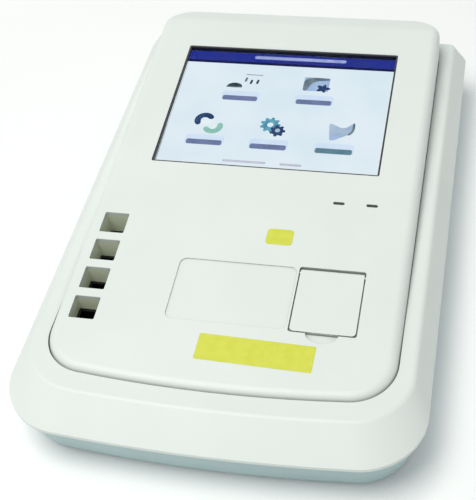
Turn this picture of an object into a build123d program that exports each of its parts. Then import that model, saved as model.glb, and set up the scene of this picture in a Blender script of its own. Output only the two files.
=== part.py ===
from build123d import *
from math import cos, radians, sin, tan
import os

# Bench-top specific protein analyzer: a low wedge-shaped desk instrument with a touch display, four
# warming wells at the left, a card-reading pad, and a lidded measuring chamber with a stirrer.
# Millimetres. X runs to the right, Y to the back, Z up. The origin lies on the table, below the
# middle of the footprint.

os.makedirs("parts", exist_ok=True)

# Fits shared by all pieces
clearance = 0.3
running_fit = 0.05
overrun = 20.0

# Housing outline at its widest line, where the two shells part
body_width = 264.0
body_length = 395.0
front_bow = 7.4
body_corner_radius = 42.0
rear_corner_radius = 7.0
parting_height = 37.0
edge_band = 2.5
shell_wall = 3.0

# Shoulder round the raised top panel
shoulder_height = 50.5
side_lean = 10.0
front_slope_run = 23.0
shoulder_corner_radius = 38.0
shoulder_round = 4.0

# Base tray under the parting line
foot_height = 3.0
base_step = 1.5
base_side_inset = 8.5
base_front_inset = 10.5
base_corner_radius = 35.0
base_edge_round = 2.0

# Rubber feet, set into the underside
foot_radius = 9.0
foot_seat = 1.5
foot_edge = 1.0
foot_side_margin = 34.0
foot_front_margin = 47.6
foot_back_margin = 30.0

# Screws that join the shells, driven from below
shell_screw_side_margin = 16.5
shell_screw_front_margin = 59.6
shell_screw_back_margin = 27.0
shell_screw_rows = 3
screw_radius = 1.5
screw_head_radius = 2.8
screw_head_height = 2.2
boss_wall = 3.0
boss_top = 20.0
boss_counterbore = 8.0
screw_bite = 10.0

# Vent slots in the underside
vent_x = 0.0
vent_y = -20.0
vent_length = 40.0
vent_width = 2.5
vent_pitch = 6.0
vent_count = 9

# Raised top panel, tilted towards the user
panel_side_margin = 20.6
panel_front_margin = 36.0
panel_corner_radius = 30.0
panel_rear_radius = 24.0
panel_wall = 3.0
panel_edge_round = 6.5
panel_sink = 6.5
groove = 0.4
ledge_width = 5.0
ledge_thickness = 2.5
panel_front_rise = 2.11
top_tilt = 4.2
rear_band_depth = 20.65
rear_fall = 15.5
crease_round = 10.0

# Display stack, measured square to the slope
screen_side_margin = 29.15
screen_back_margin = 31.65
screen_front_gap = 84.35
screen_corner_radius = 1.5
bezel_lip = 1.4
bezel_recess = 0.5
bezel_flange = 5.0
bezel_thickness = 1.2
glass_recess = 2.0
glass_fit = 0.2
lcd_side_margin = 9.25
lcd_end_margin = 7.75
lcd_thickness = 6.0
bracket_sheet = 1.0
bracket_end_margin = 14.5
bracket_window = 60.0
bracket_return = 4.0
display_post_radius = 3.2
display_post_gap = 2.5
board_thickness = 1.6
display_board_width = 110.0
display_board_depth_share = 0.625
display_board_gap = 5.0
display_stud_radius = 2.2
display_stud_margin = 5.0
board_screw_radius = 1.25
board_screw_head_radius = 2.3
board_screw_head_height = 1.6
board_screw_length = 5.0

# Status windows below the display
status_inset = 24.25
status_pitch = 22.7
status_gap = 27.25
status_width = 8.0
status_depth = 2.5
status_fit = 0.1
lens_recess = 0.4
lens_foot = 1.5
lens_foot_margin = 1.2
led_size = 3.2
led_height = 1.0
led_board_width = 40.0
led_board_depth = 10.0
led_post_radius = 2.0

# Card pad and chamber lid, side by side on the slope
row_front_margin = 101.66
row_depth = 49.0
pad_gap = 1.2
pad_recess = 0.8
pad_corner_radius = 5.0
reader_side_margin = 5.5
reader_end_margin = 4.5
reader_post_length = 2.0
reader_post_radius = 2.0
reader_post_margin = 4.0
coil_turns = 4
coil_track = 0.8
coil_pitch = 1.6
coil_height = 0.2
lid_place_share = 0.56
lid_width = 41.6
lid_gap = 0.9
lid_rest_width = 3.0
lid_rest_thickness = 1.5
lid_thickness = 3.0
lid_corner_radius = 2.8
bay_corner_radius = 1.8
hinge_radius = 2.5
pin_radius = 1.0
pin_reach = 3.5
ear_width = 5.0
ear_half = 4.0
ear_drop = 4.0
scoop_width = 21.0
scoop_depth = 7.0
scoop_fall = 2.0
scoop_floor = 1.5
liner_side_margin = 4.8
liner_end_margin = 7.5
liner_thickness = 2.0
liner_corner_radius = 3.0
seal_thickness = 1.5
seal_width = 3.0
skirt_wall = 1.5

# Warming wells
well_front_margin = 79.2
well_pitch = 23.8
well_count = 4
well_mouth = 17.3
well_corner_radius = 1.0
guide_wall = 1.6
guide_flange = 2.0
block_top = 43.0
block_bottom = 12.0
block_margin = 6.0
block_gap = 0.7
cuvette_well = 13.4
cuvette_corner_radius = 0.8
cuvette_floor = 3.0
ear_length = 9.0
ear_thickness = 4.0
post_radius = 4.0
block_screw_length = 9.0
heater_thickness = 1.2
heater_width = 20.0
sensor_radius = 2.0
sensor_length = 14.0
sensor_depth = 9.0
sensor_height = 20.0

# Measuring chamber under the lid
chamber_width = 40.0
chamber_depth = 40.0
chamber_bottom = 21.0
collar_rise = 5.65
chamber_flange = 3.0
chamber_flange_margin = 1.0
collar_radius = 13.0
chamber_well_floor = 3.0
beam_height = 33.0
beam_radius = 2.0
laser_radius = 5.0
laser_length = 26.0
laser_seat = 8.0
laser_aperture_radius = 2.0
laser_aperture_depth = 1.0
beam_lens_radius = 4.0
beam_lens_thickness = 2.0
detector_radius = 4.1
detector_depth = 5.0
detector_board_size = 15.0
beam_trap_depth = 6.0

# Stirrer under the measuring chamber
motor_radius = 10.0
motor_height = 9.5
motor_boss_radius = 3.0
motor_boss_height = 0.8
shaft_radius = 0.75
shaft_reach = 3.8
shaft_seat = 5.0
rotor_radius = 8.0
rotor_thickness = 3.0
rotor_gap = 0.5
magnet_radius = 2.0
magnet_thickness = 1.5
magnet_offset = 4.6

# Main board on the base floor
board_x = 18.0
board_width = 134.0
board_depth = 104.0
board_lift = 8.0
board_hole_margin = 6.0
standoff_flat = 5.5
chip_size = 18.0
chip_height = 1.6
module_width = 48.0
module_depth = 34.0
module_height = 6.0
capacitor_radius = 4.0
capacitor_height = 11.0
capacitor_pitch = 10.0
capacitor_count = 3
buzzer_radius = 6.0
buzzer_height = 7.5
buzzer_port = 1.2
cell_radius = 10.0
cell_height = 4.5
module_place_share = (-0.2, -0.08)
chip_place_share = (0.22, -0.12)
capacitor_place_share = (0.36, 0.14)
buzzer_place_share = (-0.4, 0.24)
cell_place_share = (0.06, 0.16)

# Ribbon cable between the two boards
ribbon_width = 20.0
ribbon_thickness = 0.4
ribbon_x = 30.0
ribbon_lead = 4.0
ribbon_bend = 9.0
socket_margin = 8.0
socket_width = 24.0
socket_depth = 5.0
socket_height = 2.6

# Connector plate at the back
rear_window_margin = 6.5
rear_window_height = 19.0
rear_window_z = 20.0
rear_plate_thickness = 2.0
rear_plate_margin = 4.0
rear_plate_radius = 2.0
port_fit = 0.2
port_reach = 0.5

# Power inlet
jack_offset = 37.0
jack_width = 9.0
jack_height = 10.5
jack_length = 13.0
jack_bore = 2.8
jack_bore_depth = 9.5
jack_pin_radius = 1.0

# Data port
data_offset = 7.0
data_width = 13.2
data_height = 5.8
data_length = 14.0
data_sheet = 0.4
data_tongue_width = 10.8
data_tongue_height = 1.8
data_floor = 2.0

# Serial port
serial_offset = -38.0
serial_flange_width = 31.0
serial_flange_height = 12.5
serial_flange_thickness = 1.0
serial_body_length = 9.0
serial_shell_width = 17.0
serial_shell_height = 8.4
serial_shell_slant = 1.5
serial_shell_wall = 0.5
serial_pin_radius = 0.5
serial_pin_pitch = 2.77
serial_row_pitch = 2.84
serial_nut_pitch = 25.0
serial_nut_radius = 2.3
serial_nut_height = 4.0
serial_stud_radius = 1.5
serial_shell_reach = 5.8
serial_pin_recess = 0.8
serial_long_row_count = 5

# Power switch
switch_gap = 6.5
switch_width = 21.0
switch_height = 15.0
switch_flange = 2.0
switch_body_width = 19.0
switch_body_height = 12.8
switch_body_length = 13.0
switch_well_width = 17.8
switch_well_height = 10.4
switch_well_depth = 10.0
rocker_width = 15.6
rocker_height = 9.6
rocker_end = 3.4
rocker_middle = 2.2
rocker_tail = 3.0
rocker_pivot_depth = 3.4
rocker_throw = 9.0
rocker_stub_radius = 1.0
rocker_stub_length = 1.2

# Values worked out from the sizes above
slope = radians(top_tilt)
fall = radians(rear_fall)
front_line = -body_length / 2 + front_bow
back_line = body_length / 2
band_bottom = parting_height - edge_band
shoulder_half = body_width / 2 - side_lean
shoulder_front = front_line + front_slope_run
deck_underside = shoulder_height - shell_wall
panel_half = body_width / 2 - panel_side_margin
panel_front = front_line + panel_front_margin
panel_bottom = shoulder_height - panel_sink
sunk_back = back_line - shell_wall - groove
floor_top = foot_height + shell_wall
shell_screw_x = body_width / 2 - shell_screw_side_margin
shell_screw_front = front_line + shell_screw_front_margin
shell_screw_back = back_line - shell_screw_back_margin
shell_screw_pitch = (shell_screw_back - shell_screw_front) / (shell_screw_rows - 1)
foot_x = body_width / 2 - foot_side_margin
foot_front = front_line + foot_front_margin
foot_rear = back_line - foot_back_margin
base_back = back_line - base_step
base_inner_back = base_back - shell_wall

# Display, control row and wells, from the panel's edges inwards; run is a distance up the slope
row_y = front_line + row_front_margin
slope_run = (back_line - rear_band_depth - row_y) / cos(slope)
screen_width = 2 * (panel_half - screen_side_margin)
screen_depth = slope_run - screen_back_margin - screen_front_gap - row_depth / 2
crease_run = screen_depth / 2 + screen_back_margin
row_run = slope_run - crease_run
screen_back = back_line - rear_band_depth - crease_run * cos(slope)
top_height = shoulder_height + panel_front_rise + (screen_back - panel_front) * tan(slope)
status_x = screen_width / 2 - status_inset
status_run = screen_depth / 2 + status_gap
lcd_width = screen_width + 2 * lcd_side_margin
lcd_depth = screen_depth + 2 * lcd_end_margin
bracket_depth = lcd_depth - 2 * bracket_end_margin
display_board_depth = display_board_depth_share * bracket_depth
bay_width = lid_width + 2 * lid_gap
bay_depth = row_depth + 2 * lid_gap
lid_x = lid_place_share * panel_half
liner_width = lid_width - 2 * liner_side_margin
liner_depth = row_depth - 2 * liner_end_margin
pad_width = 2 * (lid_x - bay_width / 2 - pad_gap)
reader_board_width = pad_width - 2 * reader_side_margin
reader_board_depth = row_depth - 2 * reader_end_margin
block_width = cuvette_well + 2 * block_margin
well_x = -(panel_half - ledge_width - block_gap - block_width / 2)
well_back = front_line + well_front_margin + well_pitch * (well_count - 1)

# Ports and switch, from the main board outwards
jack_x = board_x + jack_offset
data_x = board_x + data_offset
serial_x = board_x + serial_offset
switch_x = board_x - board_width / 2 - switch_gap - switch_body_width / 2
rear_window_width = 2 * (switch_width / 2 + rear_window_margin - switch_x)

top_plane = Plane(origin=(0, screen_back, top_height), x_dir=(1, 0, 0), z_dir=(0, -sin(slope), cos(slope)))
crease_point = top_plane.from_local_coords((0, crease_run, 0))
rear_plane = Plane(origin=crease_point, x_dir=(1, 0, 0), z_dir=(0, sin(fall), cos(fall)))


def bowed_outline(plane, half_width, front, back, front_radius, rear_radius):
    """Rounded rectangle on a plane, with a front edge that arches forwards. Front and back are Y values."""
    with BuildSketch(plane) as outline:
        with BuildLine():
            Polyline((-half_width, front), (-half_width, back), (half_width, back), (half_width, front))
            ThreePointArc((half_width, front), (0, front - front_bow), (-half_width, front))
        make_face()
        fillet(outline.vertices().group_by(Axis.Y)[0], front_radius)
        fillet(outline.vertices().group_by(Axis.Y)[-1], rear_radius)
    return outline.sketch


def body_section(height, inset):
    """Outline of the housing at its widest line, drawn in by an inset, at a height."""
    return bowed_outline(
        Plane.XY.offset(height), body_width / 2 - inset, front_line + inset, back_line - inset,
        body_corner_radius - inset, rear_corner_radius - inset,
    )


def shoulder_section(height, inset):
    """Outline of the housing at the shoulder, drawn in by an inset, at a height."""
    return bowed_outline(
        Plane.XY.offset(height), shoulder_half - inset, shoulder_front + inset, back_line - inset,
        shoulder_corner_radius - inset, rear_corner_radius - inset,
    )


def base_section(height, inset):
    """Outline of the base tray at its underside, drawn in by an inset, at a height."""
    return bowed_outline(
        Plane.XY.offset(height), body_width / 2 - base_side_inset - inset, front_line + base_front_inset + inset,
        base_back - inset, base_corner_radius - inset, rear_corner_radius - base_step - inset,
    )


def panel_section(height, inset, back):
    """Outline of the top panel, drawn in by an inset, at a height and with a back edge at a Y value."""
    return bowed_outline(
        Plane.XY.offset(height), panel_half - inset, panel_front + inset, back - inset,
        panel_corner_radius - inset, panel_rear_radius - inset,
    )


def on_slope(x, run, depth):
    """Point in the part's frame from its place on the tilted top: across, up the slope, and below the face."""
    return top_plane.from_local_coords((x, run, -depth))


# Places of the shell screws, feet and warming wells
shell_screw_rows_y = [shell_screw_front + shell_screw_pitch * row for row in range(shell_screw_rows)]
shell_screw_spots = [(side * shell_screw_x, y) for side in (-1, 1) for y in shell_screw_rows_y]
foot_spots = [(side * foot_x, y) for side in (-1, 1) for y in (foot_front, foot_rear)]
well_spots = [(well_x, well_back - well_pitch * place) for place in range(well_count)]
well_middle = well_back - well_pitch * (well_count - 1) / 2

# Upper housing: leaning walls, a level shoulder and a ledge that carries the top panel
screw_post_radius = screw_radius + boss_wall
with BuildPart() as upper_housing:
    extrude(body_section(band_bottom, 0), amount=edge_band)
    loft([body_section(parting_height, 0).face(), shoulder_section(shoulder_height, 0).face()], ruled=True)
    shoulder_edges = upper_housing.edges().filter_by_position(Axis.Z, shoulder_height, shoulder_height)
    fillet(shoulder_edges.sort_by(Axis.Y)[:-1], radius=shoulder_round)
    extrude(body_section(band_bottom, shell_wall), amount=edge_band, mode=Mode.SUBTRACT)
    loft(
        [body_section(parting_height, shell_wall).face(), shoulder_section(deck_underside, shell_wall).face()],
        ruled=True, mode=Mode.SUBTRACT,
    )
    with BuildSketch(Plane.XY.offset(boss_top)):
        with Locations(*shell_screw_spots):
            Circle(screw_post_radius)
    extrude(amount=deck_underside - boss_top)
    ledge_bottom = panel_bottom - ledge_thickness
    extrude(panel_section(ledge_bottom, -groove - shell_wall, sunk_back), amount=deck_underside - ledge_bottom)
    extrude(panel_section(panel_bottom, -groove, sunk_back), amount=overrun, mode=Mode.SUBTRACT)
    extrude(panel_section(ledge_bottom, ledge_width, sunk_back), amount=overrun, mode=Mode.SUBTRACT)
    with BuildSketch(Plane.XY.offset(boss_top)):
        with Locations(*shell_screw_spots):
            Circle(screw_radius + running_fit)
    extrude(amount=screw_bite + clearance, mode=Mode.SUBTRACT)

upper_housing.part.label = "upper_housing"
export_step(upper_housing.part, "parts/upper_housing.step")

# Base tray: tapered shell with screw bosses, block posts, foot seats, vents and the connector window
collar_depth = lid_thickness + liner_thickness + seal_thickness + clearance
chamber_y = on_slope(lid_x, -row_run, collar_depth).Y
chamber_flange_top = on_slope(lid_x, -row_run, collar_depth).Z - collar_rise
block_length = well_pitch * (well_count - 1) + cuvette_well + 2 * block_margin
block_ear_y = block_length / 2 + ear_length / 2
chamber_ear_y = chamber_depth / 2 + ear_length / 2
block_post_spots = [(well_x, well_middle + side * block_ear_y) for side in (-1, 1)]
chamber_post_spots = [(lid_x, chamber_y + side * chamber_ear_y) for side in (-1, 1)]
board_back = base_inner_back - rear_plate_thickness - clearance
board_y = board_back - board_depth / 2
with BuildPart() as base_tray:
    loft([base_section(foot_height, 0).face(), body_section(band_bottom, base_step).face()], ruled=True)
    fillet(base_tray.edges().filter_by_position(Axis.Z, foot_height, foot_height), radius=base_edge_round)
    loft(
        [base_section(floor_top, shell_wall).face(), body_section(band_bottom, base_step + shell_wall).face()],
        ruled=True, mode=Mode.SUBTRACT,
    )
    with BuildSketch(Plane.XY.offset(floor_top)):
        with Locations(*shell_screw_spots):
            Circle(screw_head_radius + boss_wall)
    extrude(amount=boss_top - floor_top)
    with BuildSketch(Plane.XY.offset(floor_top)):
        with Locations(*block_post_spots):
            Circle(post_radius)
    extrude(amount=block_bottom - floor_top)
    with BuildSketch(Plane.XY.offset(floor_top)):
        with Locations(*chamber_post_spots):
            Circle(post_radius)
    extrude(amount=chamber_bottom - floor_top)
    with Locations(Plane.XY.offset(boss_top)):
        with Locations(*shell_screw_spots):
            Hole(screw_radius + clearance)
    with BuildSketch(Plane.XY.offset(foot_height)):
        with Locations(*shell_screw_spots):
            Circle(screw_head_radius + clearance)
    extrude(amount=boss_counterbore, mode=Mode.SUBTRACT)
    with BuildSketch(Plane.XY.offset(block_bottom)):
        with Locations(*block_post_spots):
            Circle(screw_radius + running_fit)
    extrude(amount=-(block_screw_length - ear_thickness + clearance), mode=Mode.SUBTRACT)
    with BuildSketch(Plane.XY.offset(chamber_bottom)):
        with Locations(*chamber_post_spots):
            Circle(screw_radius + running_fit)
    extrude(amount=-(block_screw_length - ear_thickness + clearance), mode=Mode.SUBTRACT)
    with BuildSketch(Plane.XY.offset(foot_height)):
        with Locations(*foot_spots):
            Circle(foot_radius)
    extrude(amount=foot_seat, mode=Mode.SUBTRACT)
    with BuildSketch(Plane.XY.offset(foot_height)):
        with Locations((vent_x, vent_y)):
            with GridLocations(vent_pitch, 0, vent_count, 1):
                SlotOverall(vent_length, vent_width, rotation=90)
    extrude(amount=shell_wall, mode=Mode.SUBTRACT)
    with BuildSketch(Plane.XZ.offset(-base_back)):
        with Locations((0, rear_window_z)):
            RectangleRounded(rear_window_width, rear_window_height, rear_plate_radius)
    extrude(amount=shell_wall, mode=Mode.SUBTRACT)

base_tray.part.label = "base_tray"
export_step(base_tray.part, "parts/base_tray.step")

# Rubber feet
with BuildPart() as rubber_feet:
    with BuildSketch(Plane.XY):
        with Locations(*foot_spots):
            Circle(foot_radius - running_fit)
    extrude(amount=foot_height + foot_seat)
    chamfer(rubber_feet.edges().group_by(Axis.Z)[0], length=foot_edge)

rubber_feet.part.label = "rubber_feet"
export_step(rubber_feet.part, "parts/rubber_feet.step")

# Screws that join the two shells, heads down in their counterbores
head_seat = foot_height + boss_counterbore
with BuildPart() as shell_screws:
    with BuildSketch(Plane.XY.offset(head_seat - screw_head_height)):
        with Locations(*shell_screw_spots):
            Circle(screw_head_radius)
    extrude(amount=screw_head_height)
    with BuildSketch(Plane.XY.offset(head_seat)):
        with Locations(*shell_screw_spots):
            Circle(screw_radius)
    extrude(amount=boss_top + screw_bite - head_seat)

shell_screws.part.label = "shell_screws"
export_step(shell_screws.part, "parts/shell_screws.step")

# Depths of the display stack below the sloping face
flange_back = panel_wall + bezel_thickness
lcd_top = flange_back
glass_thickness = lcd_top - clearance - glass_recess
lcd_bottom = lcd_top + lcd_thickness
bracket_bottom = lcd_bottom + bracket_sheet
display_board_top = bracket_bottom + display_board_gap
display_board_bottom = display_board_top + board_thickness
view_width = screen_width - 2 * bezel_lip
view_depth = screen_depth - 2 * bezel_lip
display_post_x = lcd_width / 2 + display_post_gap + display_post_radius
display_post_spots = [(x, y) for x in (-display_post_x, display_post_x) for y in (-bracket_depth / 3, bracket_depth / 3)]
status_spots = [(status_x, -status_run), (status_x + status_pitch, -status_run)]
led_board_x = status_x + status_pitch / 2
led_board_top = panel_wall + lens_foot + led_height

# Hinge of the chamber lid, along the lid's back edge and inside its thickness
hinge_run = -row_run + row_depth / 2 - hinge_radius
lid_front_run = -row_run - row_depth / 2
hinge_point = on_slope(0, hinge_run, hinge_radius)
hinge_plane = Plane(origin=hinge_point, x_dir=top_plane.y_dir, z_dir=(1, 0, 0))
lid_rest_depth = bay_depth - 2 * lid_gap - 2 * hinge_radius
lid_rest_run = -row_run - bay_depth / 2 + lid_rest_depth / 2
pin_length = bay_width + 2 * pin_reach
reader_board_top = panel_wall + reader_post_length
reader_spots = [
    (x * (reader_board_width / 2 - reader_post_margin), -row_run + y * (reader_board_depth / 2 - reader_post_margin))
    for x in (-1, 1) for y in (-1, 1)
]

# Inner space of the top panel, and the trim round the stretch that sinks into the housing
with BuildPart() as panel_hollow:
    extrude(panel_section(panel_bottom, panel_wall, back_line), amount=top_height)
    split(bisect_by=rear_plane.offset(-panel_wall), keep=Keep.BOTTOM)
    split(bisect_by=top_plane.offset(-panel_wall), keep=Keep.BOTTOM)

with BuildPart() as sink_trim:
    extrude(body_section(panel_bottom, 0), amount=panel_sink)
    extrude(panel_section(panel_bottom, 0, sunk_back), amount=panel_sink, mode=Mode.SUBTRACT)

# Light-tight skirt that hangs from the top panel round the lid opening, with the ledge the lid rests on
with BuildPart() as bay_skirt:
    with BuildSketch(top_plane.offset(-panel_wall)):
        with Locations((lid_x, -row_run)):
            RectangleRounded(bay_width + 2 * skirt_wall, bay_depth + 2 * skirt_wall, bay_corner_radius + skirt_wall)
            RectangleRounded(bay_width, bay_depth, bay_corner_radius, mode=Mode.SUBTRACT)
    extrude(amount=-(top_height - chamber_flange_top))
    split(bisect_by=Plane.XY.offset(chamber_flange_top + clearance), keep=Keep.TOP)
    with BuildSketch(top_plane.offset(-lid_thickness - running_fit)):
        with Locations((lid_x, lid_rest_run)):
            Rectangle(bay_width, lid_rest_depth)
        with Locations((lid_x, lid_rest_run + lid_rest_width)):
            Rectangle(bay_width - 2 * lid_rest_width, lid_rest_depth, mode=Mode.SUBTRACT)
    extrude(amount=-lid_rest_thickness)

# Top panel: tilted shell with the display opening, wells, card pad, lid opening and their bosses
with BuildPart() as top_panel:
    extrude(panel_section(panel_bottom, 0, back_line), amount=top_height)
    split(bisect_by=rear_plane, keep=Keep.BOTTOM)
    split(bisect_by=top_plane, keep=Keep.BOTTOM)
    fillet(top_panel.edges().filter_by(Axis.X).sort_by(Axis.Z)[-1], radius=crease_round)
    top_faces = top_panel.faces().filter_by(lambda face: face.normal_at().Z > cos(2 * fall))
    seams = top_faces.edges().filter_by(Axis.X)
    seams = seams.filter_by(lambda edge: edge.center().Y < back_line - panel_edge_round)
    fillet(top_faces.edges() - seams, radius=panel_edge_round)
    add(panel_hollow.part, mode=Mode.SUBTRACT)
    add(sink_trim.part, mode=Mode.SUBTRACT)
    # Posts that carry the display bracket, the reader board and the status lamp board
    with BuildSketch(top_plane.offset(-lcd_bottom)):
        with Locations(*display_post_spots):
            Circle(display_post_radius)
    extrude(amount=lcd_bottom - panel_wall)
    with BuildSketch(top_plane.offset(-reader_board_top)):
        with Locations(*reader_spots):
            Circle(reader_post_radius)
    extrude(amount=reader_post_length)
    with BuildSketch(top_plane.offset(-led_board_top)):
        with Locations((led_board_x, -status_run)):
            Circle(led_post_radius)
    extrude(amount=led_board_top - panel_wall)
    # Hinge ears and the skirt round the lid opening, and the thickened floor under the finger scoop
    with BuildSketch(top_plane.offset(-panel_wall - ear_drop)):
        with Locations((lid_x, hinge_run)):
            with GridLocations(bay_width + ear_width, 0, 2, 1):
                Rectangle(ear_width, 2 * ear_half)
    extrude(amount=ear_drop)
    add(bay_skirt.part)
    with BuildSketch(top_plane.offset(-scoop_fall - scoop_floor)):
        with Locations((lid_x, lid_front_run - lid_gap - scoop_depth / 2)):
            Rectangle(scoop_width + 2 * scoop_floor, scoop_depth + 2 * scoop_floor)
    extrude(amount=scoop_fall + scoop_floor - panel_wall)
    # Openings and recesses
    with BuildSketch(top_plane.offset(-panel_wall)):
        RectangleRounded(screen_width, screen_depth, screen_corner_radius)
        with Locations(*status_spots):
            SlotOverall(status_width, status_depth)
        with Locations((lid_x, -row_run)):
            RectangleRounded(bay_width, bay_depth, bay_corner_radius)
    extrude(amount=panel_wall, mode=Mode.SUBTRACT)
    with BuildSketch(top_plane.offset(-pad_recess)):
        with Locations((0, -row_run)):
            RectangleRounded(pad_width, row_depth, pad_corner_radius)
    extrude(amount=pad_recess, mode=Mode.SUBTRACT)
    with BuildSketch(top_plane.offset(-scoop_fall)):
        with Locations((lid_x, lid_front_run)):
            Ellipse(scoop_width / 2, scoop_depth + lid_gap)
    extrude(amount=scoop_fall, mode=Mode.SUBTRACT)
    with BuildSketch(hinge_plane.offset(lid_x - bay_width / 2 - ear_width)):
        Circle(pin_radius + running_fit)
    extrude(amount=bay_width + 2 * ear_width, mode=Mode.SUBTRACT)
    with BuildSketch(top_plane.offset(-lcd_bottom)):
        with Locations(*display_post_spots):
            Circle(board_screw_radius + running_fit)
    extrude(amount=board_screw_length, mode=Mode.SUBTRACT)
    with BuildSketch(Plane.XY.offset(block_top)):
        with Locations(*well_spots):
            RectangleRounded(well_mouth, well_mouth, well_corner_radius)
    extrude(amount=top_height, mode=Mode.SUBTRACT)

top_panel.part.label = "top_panel"
export_step(top_panel.part, "parts/top_panel.step")

# Display bezel: a black frame whose lip stands up in the opening of the top panel
with BuildPart() as display_bezel:
    with BuildSketch(top_plane.offset(-flange_back)):
        RectangleRounded(screen_width + 2 * bezel_flange, screen_depth + 2 * bezel_flange, screen_corner_radius)
    extrude(amount=bezel_thickness)
    with BuildSketch(top_plane.offset(-flange_back)):
        RectangleRounded(screen_width - 2 * status_fit, screen_depth - 2 * status_fit, screen_corner_radius)
    extrude(amount=flange_back - bezel_recess)
    with BuildSketch(top_plane.offset(-flange_back)):
        Rectangle(view_width, view_depth)
    extrude(amount=flange_back, mode=Mode.SUBTRACT)

display_bezel.part.label = "display_bezel"
export_step(display_bezel.part, "parts/display_bezel.step")

# Touch glass inside the bezel, bonded to the display module behind it
with BuildPart() as touch_glass:
    with BuildSketch(top_plane.offset(-glass_recess - glass_thickness)):
        Rectangle(view_width - 2 * glass_fit, view_depth - 2 * glass_fit)
    extrude(amount=glass_thickness)

touch_glass.part.label = "touch_glass"
export_step(touch_glass.part, "parts/touch_glass.step")

# Liquid crystal display module
with BuildPart() as lcd_module:
    with BuildSketch(top_plane.offset(-lcd_bottom)):
        RectangleRounded(lcd_width, lcd_depth, screen_corner_radius)
    extrude(amount=lcd_thickness)

lcd_module.part.label = "lcd_module"
export_step(lcd_module.part, "parts/lcd_module.step")

# Sheet-metal bracket behind the display, with folded edges and studs for the display board
bracket_width = 2 * (display_post_x + display_post_radius)
display_stud_x = display_board_width / 2 - display_stud_margin
display_stud_y = display_board_depth / 2 - display_stud_margin
with BuildPart() as display_bracket:
    with BuildSketch(top_plane.offset(-bracket_bottom)):
        Rectangle(bracket_width, bracket_depth)
        Rectangle(bracket_window, bracket_window / 2, mode=Mode.SUBTRACT)
        with Locations(*display_post_spots):
            Circle(board_screw_radius + running_fit, mode=Mode.SUBTRACT)
    extrude(amount=bracket_sheet)
    with BuildSketch(top_plane.offset(-bracket_bottom)):
        with GridLocations(0, bracket_depth - bracket_sheet, 1, 2):
            Rectangle(lcd_width, bracket_sheet)
    extrude(amount=-bracket_return)
    with BuildSketch(top_plane.offset(-bracket_bottom)):
        with GridLocations(2 * display_stud_x, 2 * display_stud_y, 2, 2):
            Circle(display_stud_radius)
    extrude(amount=-display_board_gap)
    with BuildSketch(top_plane.offset(-display_board_top)):
        with GridLocations(2 * display_stud_x, 2 * display_stud_y, 2, 2):
            Circle(board_screw_radius + running_fit)
    extrude(amount=display_board_gap, mode=Mode.SUBTRACT)

display_bracket.part.label = "display_bracket"
export_step(display_bracket.part, "parts/display_bracket.step")

# Display board on the bracket's studs
with BuildPart() as display_board:
    with BuildSketch(top_plane.offset(-display_board_bottom)):
        Rectangle(display_board_width, display_board_depth)
        with GridLocations(2 * display_stud_x, 2 * display_stud_y, 2, 2):
            Circle(board_screw_radius + running_fit, mode=Mode.SUBTRACT)
    extrude(amount=board_thickness)

display_board.part.label = "display_board"
export_step(display_board.part, "parts/display_board.step")

# Driver chip and ribbon socket under the display board
display_socket_y = -display_board_depth / 2 + display_stud_margin + socket_depth
with BuildPart() as display_board_parts:
    with BuildSketch(top_plane.offset(-display_board_bottom)):
        Rectangle(chip_size, chip_size)
    extrude(amount=-chip_height)
    with BuildSketch(top_plane.offset(-display_board_bottom)):
        with Locations((ribbon_x, display_socket_y)):
            Rectangle(socket_width, socket_depth)
    extrude(amount=-socket_height)

display_board_parts.part.label = "display_board_parts"
export_step(display_board_parts.part, "parts/display_board_parts.step")

# Screws of the display board and its bracket
with BuildPart() as display_screws:
    with BuildSketch(top_plane.offset(-bracket_bottom)):
        with Locations(*display_post_spots):
            Circle(board_screw_head_radius)
    extrude(amount=-board_screw_head_height)
    with BuildSketch(top_plane.offset(-bracket_bottom)):
        with Locations(*display_post_spots):
            Circle(board_screw_radius)
    extrude(amount=board_screw_length)
    with BuildSketch(top_plane.offset(-display_board_bottom)):
        with GridLocations(2 * display_stud_x, 2 * display_stud_y, 2, 2):
            Circle(board_screw_head_radius)
    extrude(amount=-board_screw_head_height)
    with BuildSketch(top_plane.offset(-display_board_bottom)):
        with GridLocations(2 * display_stud_x, 2 * display_stud_y, 2, 2):
            Circle(board_screw_radius)
    extrude(amount=board_screw_length)

display_screws.part.label = "display_screws"
export_step(display_screws.part, "parts/display_screws.step")

# Status windows: clear light guides with a foot behind the panel
with BuildPart() as status_lenses:
    with BuildSketch(top_plane.offset(-panel_wall)):
        with Locations(*status_spots):
            SlotOverall(status_width - 2 * status_fit, status_depth - 2 * status_fit)
    extrude(amount=panel_wall - lens_recess)
    with BuildSketch(top_plane.offset(-panel_wall - lens_foot)):
        with Locations(*status_spots):
            Rectangle(status_width + 2 * lens_foot_margin, status_depth + 2 * lens_foot_margin)
    extrude(amount=lens_foot)

status_lenses.part.label = "status_lenses"
export_step(status_lenses.part, "parts/status_lenses.step")

# Lamps below the status windows
with BuildPart() as status_lamps:
    with BuildSketch(top_plane.offset(-led_board_top)):
        with Locations(*status_spots):
            Rectangle(led_size, led_size / 2)
    extrude(amount=led_height)

status_lamps.part.label = "status_lamps"
export_step(status_lamps.part, "parts/status_lamps.step")

# Status lamp board
with BuildPart() as lamp_board:
    with BuildSketch(top_plane.offset(-led_board_top - board_thickness)):
        with Locations((led_board_x, -status_run)):
            Rectangle(led_board_width, led_board_depth)
    extrude(amount=board_thickness)

lamp_board.part.label = "lamp_board"
export_step(lamp_board.part, "parts/lamp_board.step")

# Card reader board under the pad
with BuildPart() as reader_board:
    with BuildSketch(top_plane.offset(-reader_board_top - board_thickness)):
        with Locations((0, -row_run)):
            Rectangle(reader_board_width, reader_board_depth)
    extrude(amount=board_thickness)

reader_board.part.label = "reader_board"
export_step(reader_board.part, "parts/reader_board.step")

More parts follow.
